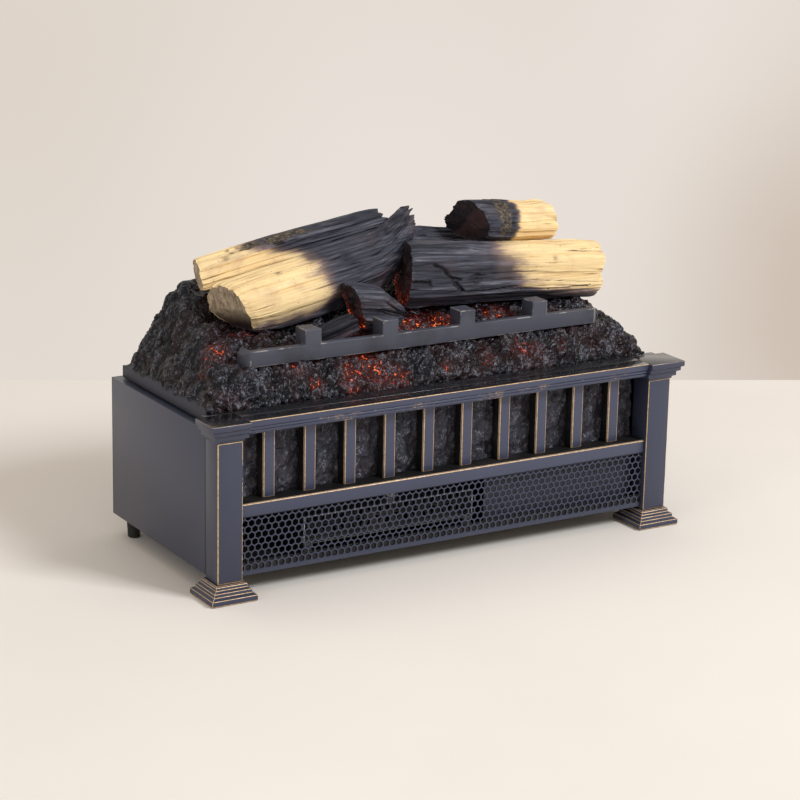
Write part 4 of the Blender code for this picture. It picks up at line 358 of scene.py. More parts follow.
def log_skin():
    """Cast wood: tan grain that turns to charcoal, darker in its grooves (dark grain lines, and painted shade in
    splits, cracks and knots), with brown cut ends.
    """
    finish = Finish("moulded_wood")
    char = finish.shade("char")
    groove = finish.shade("groove")
    bark = finish.shade("bark")
    cut = finish.shade("cut")
    glow = finish.shade("glow")
    fine = finish.cloud(620.0, 4.0, 0.6, 0.3, stretch=(0.07, 1.0, 1.0))
    streaks = finish.cloud(240.0, 4.0, 0.62, 0.4, stretch=(0.035, 1.0, 1.0))
    bands = finish.cloud(75.0, 3.0, 0.6, 0.3, stretch=(0.16, 1.0, 1.0))
    patches = finish.cloud(38.0, 3.0)
    pits = finish.step(finish.cloud(420.0, 2.0), 0.68, 0.74)
    tan = finish.ramp(streaks, WOOD_TAN)
    for share, colour in (
        (0.45 * finish.step(patches, 0.52, 0.75), WOOD_BROWN),
        (0.30 * finish.step(bands, 0.57, 0.72), WOOD_GREY_BAND),
        (0.28 * finish.step(fine, 0.60, 0.72), WOOD_FINE_LINE),
        # Grooves: dark grain lines, and painted shade in the splits, cracks and knots
        ((groove * groove * (0.60 + 0.70 * fine)).least(1.0), WOOD_GROOVE),
        (0.7 * pits, WOOD_PIT),
    ):
        tan = finish.mix(share, tan, colour)
    coal = finish.ramp(streaks + 0.5 * (fine - 0.5), CHAR_TONES)
    coal = finish.mix(0.45 * finish.step(patches, 0.56, 0.75), coal, CHAR_BROWN)
    # Charcoal is darker in the grooves: dark grain lines, and painted shade in the splits, cracks and knots
    coal = finish.mix(groove * 0.9, coal, CHAR_GROOVE)
    worn = char + 0.25 * (fine - 0.5) + 0.65 * (streaks - 0.5) + 0.55 * (bands - 0.5) + 0.45 * (patches - 0.5)
    burnt = finish.step(worn, 0.02, 0.98)
    smoky = finish.mix(finish.step(burnt, 0.0, 0.60), tan, finish.mix(finish.step(streaks, 0.42, 0.60), *SCORCH))
    wood = finish.mix(finish.step(burnt, 0.25, 0.95), smoky, coal)
    wood = finish.mix(bark, wood, finish.ramp(finish.cloud(260.0, 4.0, 0.65), MOSS))
    sawn = finish.cloud(300.0, 4.0, 0.6, stretch=(1.0, 1.0, 0.3))
    burnt_end = finish.mix(finish.step(patches, 0.42, 0.58), *BURNT_CUT)
    burnt_end = finish.mix(0.5 * finish.step(sawn, 0.45, 0.65), burnt_end, BURNT_SAW_MARKS)
    end = finish.mix(
        finish.step(char + 0.3 * (sawn - 0.5), 0.30, 0.70), finish.ramp(sawn, PALE_CUT), burnt_end
    )
    flecks = finish.step(finish.cloud(330.0, 3.0, 0.6), 0.50, 0.62)
    return finish.done(
        Base_Color=finish.mix(cut, wood, end),
        Roughness=0.64 + 0.20 * fine - 0.16 * burnt,
        Specular_IOR_Level=0.24,
        Specular_Tint=COOL_TINT,
        Normal=finish.bump(fine * 0.6 + streaks * 0.9, 0.0007, 0.6),
        Emission_Color=finish.ramp(glow * (0.14 + flecks), WOOD_FIRE),
        Emission_Strength=WOOD_GLOW,
    )


def sheet_metal(name, colours, roughness, grain=(1.0, 1.0, 1.0), metallic=1.0):
    """Bare or plated sheet with spangle and rolling marks."""
    finish = Finish(name)
    spangle = finish.cells(130.0)
    rolled = finish.cloud(700.0, 3.0, stretch=grain)
    dull = finish.cloud(22.0, 3.0)
    colour = finish.mix(finish.step(spangle, 0.1, 0.8), *colours)
    return finish.done(
        Base_Color=finish.mix(0.3 * finish.step(dull, 0.5, 0.8), colour, (0.16, 0.15, 0.14)),
        Roughness=roughness + 0.16 * rolled + 0.10 * dull,
        Metallic=metallic,
        Normal=finish.bump(rolled, 0.00003, 0.5),
    )


def moulded(name, colour, worn, roughness, grain_scale=1400.0):
    """Moulded plastic, rubber or ceramic with a fine skin and faint flow marks."""
    finish = Finish(name)
    skin = finish.cloud(grain_scale, 2.0)
    flow = finish.cloud(45.0, 3.0, 0.5, 0.8)
    return finish.done(
        Base_Color=finish.mix(0.6 * finish.step(flow, 0.40, 0.70), colour, worn),
        Roughness=roughness + 0.14 * skin + 0.08 * flow,
        Normal=finish.bump(skin, 0.00008, 0.5),
    )


def circuit_board():
    finish = Finish("circuit_board")
    lanes = finish.node(
        "ShaderNodeTexBrick", {"offset": 0.5, "squash": 0.7},
        {"Vector": finish.here, "Scale": 130.0, "Mortar Size": 0.06, "Color1": (1, 1, 1), "Color2": (1, 1, 1),
         "Mortar": (0, 0, 0)}, "Fac",
    )
    pads = finish.step(finish.cells(190.0), 0.20, 0.26)
    mask = finish.cloud(60.0, 2.0)
    board = finish.mix(0.5 * mask, (0.012, 0.085, 0.035), (0.020, 0.130, 0.055))
    tracks = finish.mix(0.6 * lanes, board, (0.040, 0.190, 0.085))
    return finish.done(
        Base_Color=finish.mix(pads, (0.62, 0.60, 0.55), tracks),
        Roughness=0.34 + 0.2 * mask,
        Normal=finish.bump(lanes + pads, 0.00008, 0.5),
    )


PAINT = painted_steel("gunmetal_paint", 1.0)
# The bars' copy of the same gunmetal paint is painted 1.35 times lighter: painted light on the top rail, mid rail and
# slats
LIGHTENED_BAR_PAINT = painted_steel("gunmetal_paint_painted_lighter_on_bars", 1.35)
GLOSS = black_gloss()
IRON = grate_iron()
BED_COAL = coal_skin("glowing_coals", 1.3, 0.72, 0.85, 0.0)
# The panel's coals are mixed 0.48 towards a lighter colour, as painted light over the shade behind the bars
PANEL_COAL = coal_skin("panel_coals", 0.25, 0.5, 1.0, 0.48)
WOOD = log_skin()
BRIGHT_STEEL = sheet_metal("plated_steel", ((0.50, 0.51, 0.52), (0.62, 0.63, 0.64)), 0.26)
INNER_STEEL = sheet_metal("mill_steel", ((0.17, 0.17, 0.18), (0.23, 0.23, 0.24)), 0.40, (1.0, 1.0, 0.1), 0.8)
ALUMINIUM = sheet_metal("fin_aluminium", ((0.60, 0.61, 0.62), (0.72, 0.73, 0.74)), 0.22, (0.1, 1.0, 1.0))
# Near-black steel: the black finish of the heater core and light divider, and painted shade on the base pan, the mid
# rail's ledge and the slats' sides
BLACK_STEEL_AND_PAINTED_SHADE = sheet_metal("black_steel_and_painted_shade", ((0.012, 0.012, 0.014), (0.022, 0.021, 0.022)), 0.48, metallic=0.6)
BAFFLE_STEEL = sheet_metal("grey_baffle_steel", ((0.045, 0.050, 0.070), (0.060, 0.066, 0.088)), 0.46, metallic=0.5)
RUBBER = moulded("black_rubber", (0.012, 0.012, 0.012), (0.030, 0.029, 0.028), 0.72, 700.0)
BLACK_PLASTIC = moulded("black_plastic", (0.014, 0.014, 0.015), (0.026, 0.026, 0.028), 0.36)
WHITE_PLASTIC = moulded("white_plastic", (0.66, 0.66, 0.63), (0.58, 0.57, 0.53), 0.40)
CERAMIC = moulded("heater_ceramic", (0.58, 0.54, 0.46), (0.44, 0.38, 0.30), 0.62, 500.0)
BOARD = circuit_board()

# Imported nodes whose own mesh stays, and their finishes
CARRIED_OVER = {
    # The base pan is near-black as painted shade, for the dark seen through the grille's holes
    "rear_panel": PAINT, "base_pan": BLACK_STEEL_AND_PAINTED_SHADE, "light_divider": BLACK_STEEL_AND_PAINTED_SHADE, "baffle_plate": BAFFLE_STEEL,
    "heater_frame": BRIGHT_STEEL, "spindle_bearing": BRIGHT_STEEL, "flicker_motor": BRIGHT_STEEL,
    "rotor_bearing": BRIGHT_STEEL,
    "thermal_cutout": BRIGHT_STEEL, "scroll_housing": INNER_STEEL, "blower_motor": INNER_STEEL,
    "flicker_spindle": ALUMINIUM, "heater_core": BLACK_STEEL_AND_PAINTED_SHADE, "blower_rotor": BLACK_PLASTIC,
    "led_board": WHITE_PLASTIC, "control_board": BOARD, "terminal_block": CERAMIC,
    "cord_gland": BLACK_PLASTIC, "rear_foot_left": RUBBER, "rear_foot_right": RUBBER,
    **{f"rear_screw_{index + 1}": BRIGHT_STEEL for index in range(4)},
}


def finish_carried_over():
    for node, material in CARRIED_OVER.items():
        for slot in NODES[node].material_slots:
            slot.material = material


# Mesh helpers
def scene_object(name, data):
    made = bpy.data.objects.new(name, data)
    bpy.context.scene.collection.objects.link(made)
    return made


def piece_from(shape, name, materials, smooth_angle=None):
    """Turns a bmesh into a piece; with an angle, faces are smooth except across sharper edges."""
    mesh = bpy.data.meshes.new(name)
    shape.to_mesh(mesh)
    shape.free()
    for material in materials:
        mesh.materials.append(material)
    piece = scene_object(name, mesh)
    if smooth_angle is not None:
        mesh.shade_smooth()
        mesh.set_sharp_from_angle(angle=math.radians(smooth_angle))
    return piece


def settle(piece, body, node):
    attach(piece, body)
    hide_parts(node)


def shape_of(node):
    shape = bmesh.new()
    shape.from_mesh(NODES[node].data)
    bmesh.ops.remove_doubles(shape, verts=shape.verts, dist=WELD)
    return shape


def rounded_copy(
    node, width, materials=(PAINT,), body="casing", second=None, treads=0.0, segments=2,
    reach=None, right=1.0, lower=1.0,
):
    """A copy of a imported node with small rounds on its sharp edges, which carry the wear value. With a reach,
    only the edges up to that far behind the front are worn. Right and lower are the wear of the edges that look
    to the right and of those well under the top, and treads that of sloping faces. Second chooses the faces of
    the second material."""
    shape = shape_of(node)
    bmesh.ops.dissolve_limit(
        shape, angle_limit=math.radians(FLAT_ANGLE), verts=shape.verts, edges=shape.edges, delimit={"NORMAL"}
    )
    sharp = [
        edge for edge in shape.edges
        if len(edge.link_faces) == 2 and edge.calc_face_angle() > math.radians(SHARP_ANGLE)
    ]
    made = bmesh.ops.bevel(
        shape, geom=sharp, offset=width, segments=segments, profile=0.5, affect="EDGES", clamp_overlap=True
    )["faces"]
    wear = shape.loops.layers.float.new("edge")
    front = min(vertex.co.y for vertex in shape.verts)
    top = max(vertex.co.z for vertex in shape.verts)
    for face in made:
        if not face.is_valid:
            continue
        middle = face.calc_center_median()
        if reach is None or middle.y < front + reach:
            worn = right if face.normal.x > RIGHTWARD else 1.0
            if middle.z < top - LOWER_EDGES:
                worn = min(worn, lower)
            for loop in face.loops:
                loop[wear] = worn
    for face in shape.faces:
        if second is not None and second(face, top):
            face.material_index = 1
        if treads and STEEPEST_TREAD < face.normal.z < LEVEL_TREAD:
            for loop in face.loops:
                loop[wear] = max(loop[wear], treads)
    settle(piece_from(shape, node + "_dressed", materials, METAL_ANGLE), body, node)


def level_top(face, top):
    return face.normal.z > LEVEL and face.calc_center_median().z > top - TOP_SKIN


def level_face(face, _top):
    return face.normal.z > LEVEL


def side_face(face, _top):
    return abs(face.normal.x) > SIDEWAYS


# Casing and front frame
def dress_frame():
    for side in ("left", "right"):
        rounded_copy(side + "_post", 0.9 * MM, reach=10 * MM, right=0.74)
        rounded_copy(side + "_plinth", 0.35 * MM, treads=0.52)
        rounded_copy(
            side + "_capital", 0.40 * MM, materials=[PAINT, GLOSS], second=level_top, reach=33 * MM, lower=0.58
        )
        rounded_copy(side + "_side_panel", 0.5 * MM, segments=3, reach=0)
    rounded_copy("top_rail", 0.35 * MM, materials=[LIGHTENED_BAR_PAINT, GLOSS], second=level_top, reach=8 * MM, lower=0.57)
    # The mid rail's level ledge and the slats' sides take near-black steel as painted shade, where they sit in the
    # shade of the bars
    rounded_copy(
        "mid_rail", 0.45 * MM, materials=[LIGHTENED_BAR_PAINT, BLACK_STEEL_AND_PAINTED_SHADE], second=level_face, reach=3 * MM, lower=0.35
    )
    for index in range(10):
        rounded_copy(
            f"slat_{index + 1:02d}", 0.5 * MM, materials=[LIGHTENED_BAR_PAINT, BLACK_STEEL_AND_PAINTED_SHADE], second=side_face,
            reach=4 * MM, right=0.42,
        )
    rounded_copy("top_shelf", 0.3 * MM, [GLOSS])
    rounded_copy("grate", 0.9 * MM, [IRON], segments=3)


# Outlet grille: a sheet of small hexagon holes
GRILLE_PITCH = 7.0 * MM
GRILLE_ROW_PITCH = 6.07 * MM
GRILLE_WIRE = 1.25 * MM
GRILLE_ROWS = 8
GRILLE_LOWER_EDGE = 4.2 * MM
GRILLE_STRIP = 0.2 * MM
GRILLE_TOP_STRIP = 0.9 * MM
GRILLE_WELD = 0.05 * MM


def make_grille():
    """A thin sheet of hexagon meshes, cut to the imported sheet's outline, with plain strips above and below."""
    low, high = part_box("outlet_grille")
    front = low.y
    thick = high.y - low.y
    radius = GRILLE_PITCH / math.sqrt(3)
    hole = (GRILLE_PITCH - GRILLE_WIRE) / math.sqrt(3)
    shape = bmesh.new()
    columns = int((high.x - low.x) / GRILLE_PITCH) + 3
    bottom = low.z + GRILLE_LOWER_EDGE
    top = high.z
    turns = [math.radians(60 * corner + 30) for corner in range(6)]
    for row in range(-1, GRILLE_ROWS + 2):
        z = bottom + GRILLE_ROW_PITCH * (row + 0.5)
        for column in range(columns):
            x = GRILLE_PITCH * (column - (columns - 1) / 2 + (row % 2) / 2)
            outer = [shape.verts.new((x + radius * math.cos(t), front, z + radius * math.sin(t))) for t in turns]
            inner = [shape.verts.new((x + hole * math.cos(t), front, z + hole * math.sin(t))) for t in turns]
            for corner in range(6):
                after = (corner + 1) % 6
                shape.faces.new((outer[corner], outer[after], inner[after], inner[corner]))
    bmesh.ops.remove_doubles(shape, verts=shape.verts, dist=GRILLE_WELD)
    cuts = (
        ((low.x, 0, 0), (-1, 0, 0)), ((high.x, 0, 0), (1, 0, 0)), ((0, 0, bottom), (0, 0, -1)),
        ((0, 0, top), (0, 0, 1)),
    )
    for point, normal in cuts:
        everything = shape.verts[:] + shape.edges[:] + shape.faces[:]
        bmesh.ops.bisect_plane(shape, geom=everything, plane_co=point, plane_no=normal, clear_outer=True)
    bmesh.ops.recalc_face_normals(shape, faces=shape.faces)
    if sum(face.normal.y for face in shape.faces) > 0:
        bmesh.ops.reverse_faces(shape, faces=shape.faces)
    bmesh.ops.solidify(shape, geom=shape.faces[:], thickness=thick)
    for under, over in ((low.z, bottom + GRILLE_STRIP), (top - GRILLE_TOP_STRIP, top)):
        made = bmesh.ops.create_cube(shape, size=1)["verts"]
        bmesh.ops.scale(shape, vec=(high.x - low.x, thick, over - under), verts=made)
        bmesh.ops.translate(shape, vec=((low.x + high.x) / 2, front + thick / 2, (under + over) / 2), verts=made)
    piece = piece_from(shape, "outlet_grille_mesh", [PAINT])
    settle(piece, "casing", "outlet_grille")


# Coals
def voxel_mesh(shape, size):
    """The closed bmesh remade in even small squares."""
    mesh = bpy.data.meshes.new("voxel_source")
    shape.to_mesh(mesh)
    shape.free()
    source = scene_object("voxel_source", mesh)
    modifier = source.modifiers.new("remesh", "REMESH")
    modifier.mode = "VOXEL"
    modifier.voxel_size = size
    graph = bpy.context.evaluated_depsgraph_get()
    made = bmesh.new()
    evaluated = source.evaluated_get(graph)
    made.from_mesh(evaluated.to_mesh())
    evaluated.to_mesh_clear()
    bpy.data.objects.remove(source, do_unlink=True)
    return made


# Sizes and heights of the coals' flakes, shards and splinters, the way they run and how they wander, and then
# the stones that these are cut as
FLAKE = 13.0 * MM
FLAKE_DEPTH = 6.4 * MM
SHARD = 6.4 * MM
SHARD_DEPTH = 4.2 * MM
SPLINTER = 3.2 * MM
SPLINTER_DEPTH = 0.9 * MM
FLAKE_LIE = Vector((0.50, 0.30, 0.81))
FLAKE_STRETCH = 0.34
SWIRL = 2.6 * MM
SWIRL_PITCH = 18.0 * MM
SWIRL_SEED = 5
STONE_SIDES = 5
STONE_ROUND = 0.55
STONE_CELL = 19.0
STONE_SHIFT = 7.3
STONE_RISE = 0.5
RISE_CELL = 31.0
BORDER_SLOPE = 3.5
HALF = Vector((0.5, 0.5, 0.5))
STONES = {}


def share_of(value):
    """The value held between 0 and 1."""
    return min(1.0, max(0.0, value))


def stone(centre):
    """The ways that a stone's facets look, and how tall it stands."""
    key = tuple(round(part, 3) for part in centre)
    if key not in STONES:
        facings = [
            (noise.cell_vector(centre * STONE_CELL + Vector((STONE_SHIFT * side, 0, 0))) - HALF).normalized()
            for side in range(STONE_SIDES)
        ]
        STONES[key] = facings, STONE_RISE * noise.cell_vector(centre * RISE_CELL).x
    return STONES[key]


def stones(place, size):
    """The height of many-sided stones of a size at a place, and how far it is from a crease, from 0 to 1."""
    spot = place / size
    heights = []
    for centre in noise.voronoi(spot)[1]:
        facings, top = stone(centre)
        away = spot - centre
        heights.append(top - max(STONE_ROUND * away.length, max(facing.dot(away) for facing in facings)))
    heights.sort()
    return heights[-1], share_of((heights[-1] - heights[-2]) * BORDER_SLOPE)


def coal_height(place):
    """How far the coals stand out at a place, and how deep in a crease it lies, from 0 to 1. The stones of the
    packed shell are broken into flakes and shards that all run up the slope to one side."""
    swirl = noise.noise_vector(place / SWIRL_PITCH) * SWIRL
    drawn = place + swirl - FLAKE_LIE * (place.dot(FLAKE_LIE) * FLAKE_STRETCH)
    flake, flake_border = stones(drawn, FLAKE)
    shard, shard_border = stones(drawn, SHARD)
    splinter = 1.0 - 2.0 * abs(noise.noise(drawn / SPLINTER))
    height = FLAKE_DEPTH * flake + SHARD_DEPTH * shard + SPLINTER_DEPTH * splinter
    hollow = 0.95 - 0.35 * flake_border - 0.35 * shard_border - 0.45 * flake - 0.45 * shard
    return height, share_of(hollow)


# Glows on the bed: place and reach in millimetres, strength
GLOWS = (
    ((-60, -72, 184), 14, 1.0), ((-94, -69, 189), 12, 0.9), ((-40, -75, 178), 12, 0.8), ((-93, -76, 176), 10, 0.6),
    ((-72, -64, 197), 14, 0.6), ((-128, -74, 182), 8, 0.75), ((-145, -64, 197), 7, 0.6), ((12, -72, 181), 7, 0.7),
    ((62, -71, 183), 11, 0.45), ((99, -70, 188), 13, 0.55), ((118, -70, 187), 10, 0.50), ((146, -70, 188), 12, 0.30),
    ((179, -72, 182), 12, 0.22), ((-211, -24, 212), 13, 1.0), ((-228, -34, 196), 8, 0.40), ((-171, 0, 218), 9, 0.65),
    ((1, -24, 214), 18, 1.0), ((32, -29, 214), 20, 1.0), ((48, -30, 216), 10, 0.8), ((88, -28, 215), 8, 1.0),
    ((102, -27, 213), 16, 0.6), ((-79, -37, 221), 22, 0.9), ((-25, -37, 245), 28, 1.0), ((-132, -45, 214), 14, 0.7),
)
GLOW_END = 2.2
GLOW_FADE = 1.2


def glow_at(place):
    total = 0.0
    for centre, reach, strength in GLOWS:
        away = (place - Vector(centre) * MM).length / (reach * MM)
        if away < GLOW_END:
            total += strength * math.exp(-GLOW_FADE * away * away)
    return min(1.0, total)


# The bed's grid and skirt, and the panel behind the bars
BED_VOXEL = 1.25 * MM
BED_SMOOTHING = 3
BED_COLUMNS = 160
BED_ROWS = 64
BED_INSET = 0.05 * MM
FRONT_DROP = 8.0 * MM
SKIRT_TOP = 12.7 * MM
SKIRT_FADE = 2.5 * MM
COAL_LIFT = 0.6 * MM
COAL_ANGLE = 42
SKIRT_WAVES = ((4.0 * MM, 90.0), (2.0 * MM, 300.0))
FRONT_TURN = 1.6
FACING_SHARE = 0.3
PANEL_SETBACK = 1.0 * MM
PANEL_BASE = 50.0 * MM


def bed_solid():
    """The ember bed's outside as a closed block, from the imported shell's upper surface."""
    low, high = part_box("ember_bed")
    mesh = NODES["ember_bed"].data
    mesh.calc_loop_triangles()
    tree = BVHTree.FromPolygons(
        [vertex.co for vertex in mesh.vertices], [triangle.vertices for triangle in mesh.loop_triangles]
    )
    shape = bmesh.new()
    grid = []
    for column in range(BED_COLUMNS + 1):
        x = low.x + BED_INSET + (high.x - low.x - 2 * BED_INSET) * column / BED_COLUMNS
        line = []
        for row in range(BED_ROWS + 1):
            y = low.y + BED_INSET + (high.y - low.y - 2 * BED_INSET) * row / BED_ROWS
            hit = tree.ray_cast(Vector((x, y, high.z + 0.1)), Vector((0, 0, -1)))[0]
            z = hit.z if hit else low.z + SKIRT_TOP
            line.append(shape.verts.new((x, y, z)))
        grid.append(line)
    for line, after in zip(grid, grid[1:]):
        for row in range(BED_ROWS):
            shape.faces.new((line[row], after[row], after[row + 1], line[row + 1]))
    rim = [edge for edge in shape.edges if edge.is_boundary]
    made = bmesh.ops.extrude_edge_only(shape, edges=rim)["geom"]
    floor = [vertex for vertex in made if isinstance(vertex, bmesh.types.BMVert)]
    for vertex in floor:
        vertex.co.z = low.z
    loops = [edge for edge in shape.edges if edge.is_boundary]
    bmesh.ops.holes_fill(shape, edges=loops, sides=0)
    bmesh.ops.recalc_face_normals(shape, faces=shape.faces)
    return shape, low


def dress_coals(shape, base, skirt_top, facing=None):
    """Pushes the skin out into coals along its normals, and writes the hollow, glow and bare values."""
    hollow, glow, bare = [shape.verts.layers.float.new(key) for key in ("hollow", "glow", "bare")]
    shape.normal_update()
    moves = []
    for vertex in shape.verts:
        place = vertex.co.copy()
        if facing is not None and vertex.normal.dot(facing) < FACING_SHARE:
            vertex[bare] = 1.0
            continue
        edge = skirt_top
        for height, waves in SKIRT_WAVES:
            edge += height * noise.noise(place * waves)
        edge -= FRONT_DROP * share_of(-vertex.normal.y * FRONT_TURN)
        share = share_of((place.z - base - edge) / SKIRT_FADE)
        if share == 0.0:
            vertex[bare] = 1.0
            continue
        height, crease = coal_height(place)
        vertex[bare] = 1.0 - share
        vertex[hollow] = crease
        vertex[glow] = glow_at(place)
        moves.append((vertex, vertex.normal * share * (height + COAL_LIFT)))
    for vertex, move in moves:
        vertex.co += move


def make_bed():
    """The ember bed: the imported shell's outside, broken up into coals."""
    shape, low = bed_solid()
    shape = voxel_mesh(shape, BED_VOXEL)
    for _ in range(BED_SMOOTHING):
        bmesh.ops.smooth_vert(
            shape, verts=shape.verts, factor=0.5, use_axis_x=True, use_axis_y=True, use_axis_z=True
        )
    dress_coals(shape, low.z, SKIRT_TOP)
    piece = piece_from(shape, "ember_bed_coals", [BED_COAL], COAL_ANGLE)
    settle(piece, "casing", "ember_bed")


def make_front_coals():
    """The panel behind the bars, with coals on its front face."""
    low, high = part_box("front_ember_panel")
    shape = bmesh.new()
    bmesh.ops.create_cube(shape, size=1)
    middle = (low + high) / 2
    size = high - low
    bmesh.ops.scale(shape, vec=(size.x, size.y - PANEL_SETBACK, size.z), verts=shape.verts)
    bmesh.ops.translate(shape, vec=middle + Vector((0, PANEL_SETBACK / 2, 0)), verts=shape.verts)
    shape = voxel_mesh(shape, BED_VOXEL)
    dress_coals(shape, low.z - PANEL_BASE, 0.0, Vector((0, -1, 0)))
    piece = piece_from(shape, "front_coal_panel", [PANEL_COAL], COAL_ANGLE)
    settle(piece, "casing", "front_ember_panel")


# Logs
ROUND_SECTION = (0.98, 1.0, 0.95, 0.98, 1.02, 0.96, 1.0, 0.97, 1.0, 0.95, 0.98, 1.0)
FLAT_FRONT_SECTION = (0.96, 1.0, 1.02, 0.98, 1.10, 1.10, 0.94, 1.10, 1.08, 0.95, 1.0, 1.0)
SPLIT_SECTION = (0.90, 0.94, 1.02, 1.0, 1.04, 0.92, 0.90, 1.04, 1.06, 0.90, 0.86, 0.88)
SLAB_SECTION = (0.96, 1.08, 1.0, 0.94, 1.02, 1.14, 0.98, 1.04, 0.96, 0.92, 0.96, 1.06)
HALF_ROUND = (0.96, 1.0, 1.0, 1.02, 1.0, 0.98, 0.98, 0.96, 0.90, 0.82, 0.86, 0.94)
BLOCK_SECTION = (0.94, 1.16, 1.10, 0.94, 1.10, 1.18, 0.94, 1.12, 1.10, 0.94, 1.10, 1.14)
BED_CROWN = 84.0 * MM


# What a log has when its own line doesn't say otherwise
LOG_PLAIN = {
    "facets": (), "fray": (0.6 * MM, 1.0 * MM), "knots": (), "cracks": (), "bark": (), "crease": 1.0, "glow": 0.0,
    "end_glow": 0.0, "top_lean": 1.0, "shift": 0.0, "soot": 0.0,
}
RUN_WIDTH = 6


class Log:
    """A moulded log: its node, place over the bed, sizes in millimetres, turn and rise, section, run, char and
    ends. A row of the run is the share of the length, size, shift back, shift up, lean and skew; zeros at its end
    are left off. Facets are the directions in degrees, from the back round over the top, that split faces look to.
    Ends gives the darkness at the top and the bottom of the left cut and of the right one, as char, and as painted
    shade where a cut is shaded below, and fray how ragged each end is."""

    def __init__(self, node, place, sizes, turns, section, run, char, ends, seed, **extras):
        self.node = node
        self.place = place
        self.length, self.depth, self.height = [size * MM for size in sizes]
        self.turn, self.rise = turns
        self.section = section
        self.run = [tuple(row) + (0.0,) * (RUN_WIDTH - len(row)) for row in run]
        self.char = char
        self.ends = ends
        self.seed = Vector((seed, 3.7 * seed, 1.9 * seed))
        vars(self).update(LOG_PLAIN, **extras)

    def matrix(self):
        low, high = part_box("ember_bed")
        x_share, setback_share, height_share = self.place
        start = Vector((
            (low.x + high.x) / 2 + x_share * (high.x - low.x) / 2,
            low.y + (high.y - low.y) * setback_share,
            low.z + SKIRT_TOP + BED_CROWN * height_share,
        ))
        turn = Matrix.Rotation(math.radians(self.turn), 4, "Z")
        rise = Matrix.Rotation(-math.radians(self.rise), 4, "Y")
        return Matrix.Translation(start) @ turn @ rise @ Matrix.Translation((self.shift, 0, 0))


def run_at(rows, share):
    """The run's row at a share of the length, straight between the rows that are given."""
    for before, after in zip(rows, rows[1:]):
        if share <= after[0]:
            t = (share - before[0]) / (after[0] - before[0])
            return [low + (high - low) * t for low, high in zip(before[1:], after[1:])]
    return rows[-1][1:]


def section_point(log, angle, across, above, x):
    """A point of the many-sided section: corners as in the section, straight between them, and then cut back to
    the log's split faces."""
    count = len(log.section)
    place = angle / (2 * math.pi) * count
    corner = int(place) % count
    t = place - int(place)
    points = []
    for index in (corner, (corner + 1) % count):
        turned = 2 * math.pi * index / count
        radius = log.section[index]
        points.append(Vector((across * radius * math.cos(turned), above * radius * math.sin(turned))))
    point = points[0].lerp(points[1], t)
    for index, (facing, share) in enumerate(log.facets):
        wander = 7.0 * noise.noise(Vector((x * 11.0, index * 5.3, 0)) + log.seed)
        turned = math.radians(facing + wander)
        outward = Vector((math.cos(turned), math.sin(turned)))
        reach = share * math.hypot(across * outward.x, above * outward.y)
        over = point.dot(outward) - reach
        if over > 0:
            point = point - outward * over
    return point


def away_from_line(point, line):
    """The distance from a point to a line of joined straight runs."""
    best = 9.0
    for start, end in zip(line, line[1:]):
        run = end - start
        t = share_of((point - start).dot(run) / run.length_squared)
        best = min(best, (point - start - run * t).length)
    return best


# Swells, plank layers, splits, grain lines, threads, scales and chips: waves a metre along, waves round, seed's sign
GRAIN_WAVES = (
    (8.0, 1.3, 1), (5.0, 3.2, -1), (4.0, 4.6, 1), (6.0, 12.0, 1), (9.0, 30.0, 1), (16.0, 2.5, -1), (60.0, 8.0, -1),
)

# Heights of the grain's parts, how narrow its grooves are, and the rings of knots and ragged sides of cracks
GRAIN_WANDER = 0.06
WANDER_WAVES = 14.0
SWELL_HEIGHT = 0.7 * MM
PLANK_HEIGHT = 1.4 * MM
PLANK_BORDER = 11.0
THREAD_HEIGHT = 0.14 * MM
CHIP_HEIGHT = 0.12 * MM
SPLIT_DEPTH = 1.8 * MM
SPLIT_NARROW = 15.0
LINE_DEPTH = 0.40 * MM
LINE_NARROW = 6.0
KNOT_END = 2.5
KNOT_RINGS = 9.0
CRACK_WAVES = 300
CRACK_RAGGED = 0.6


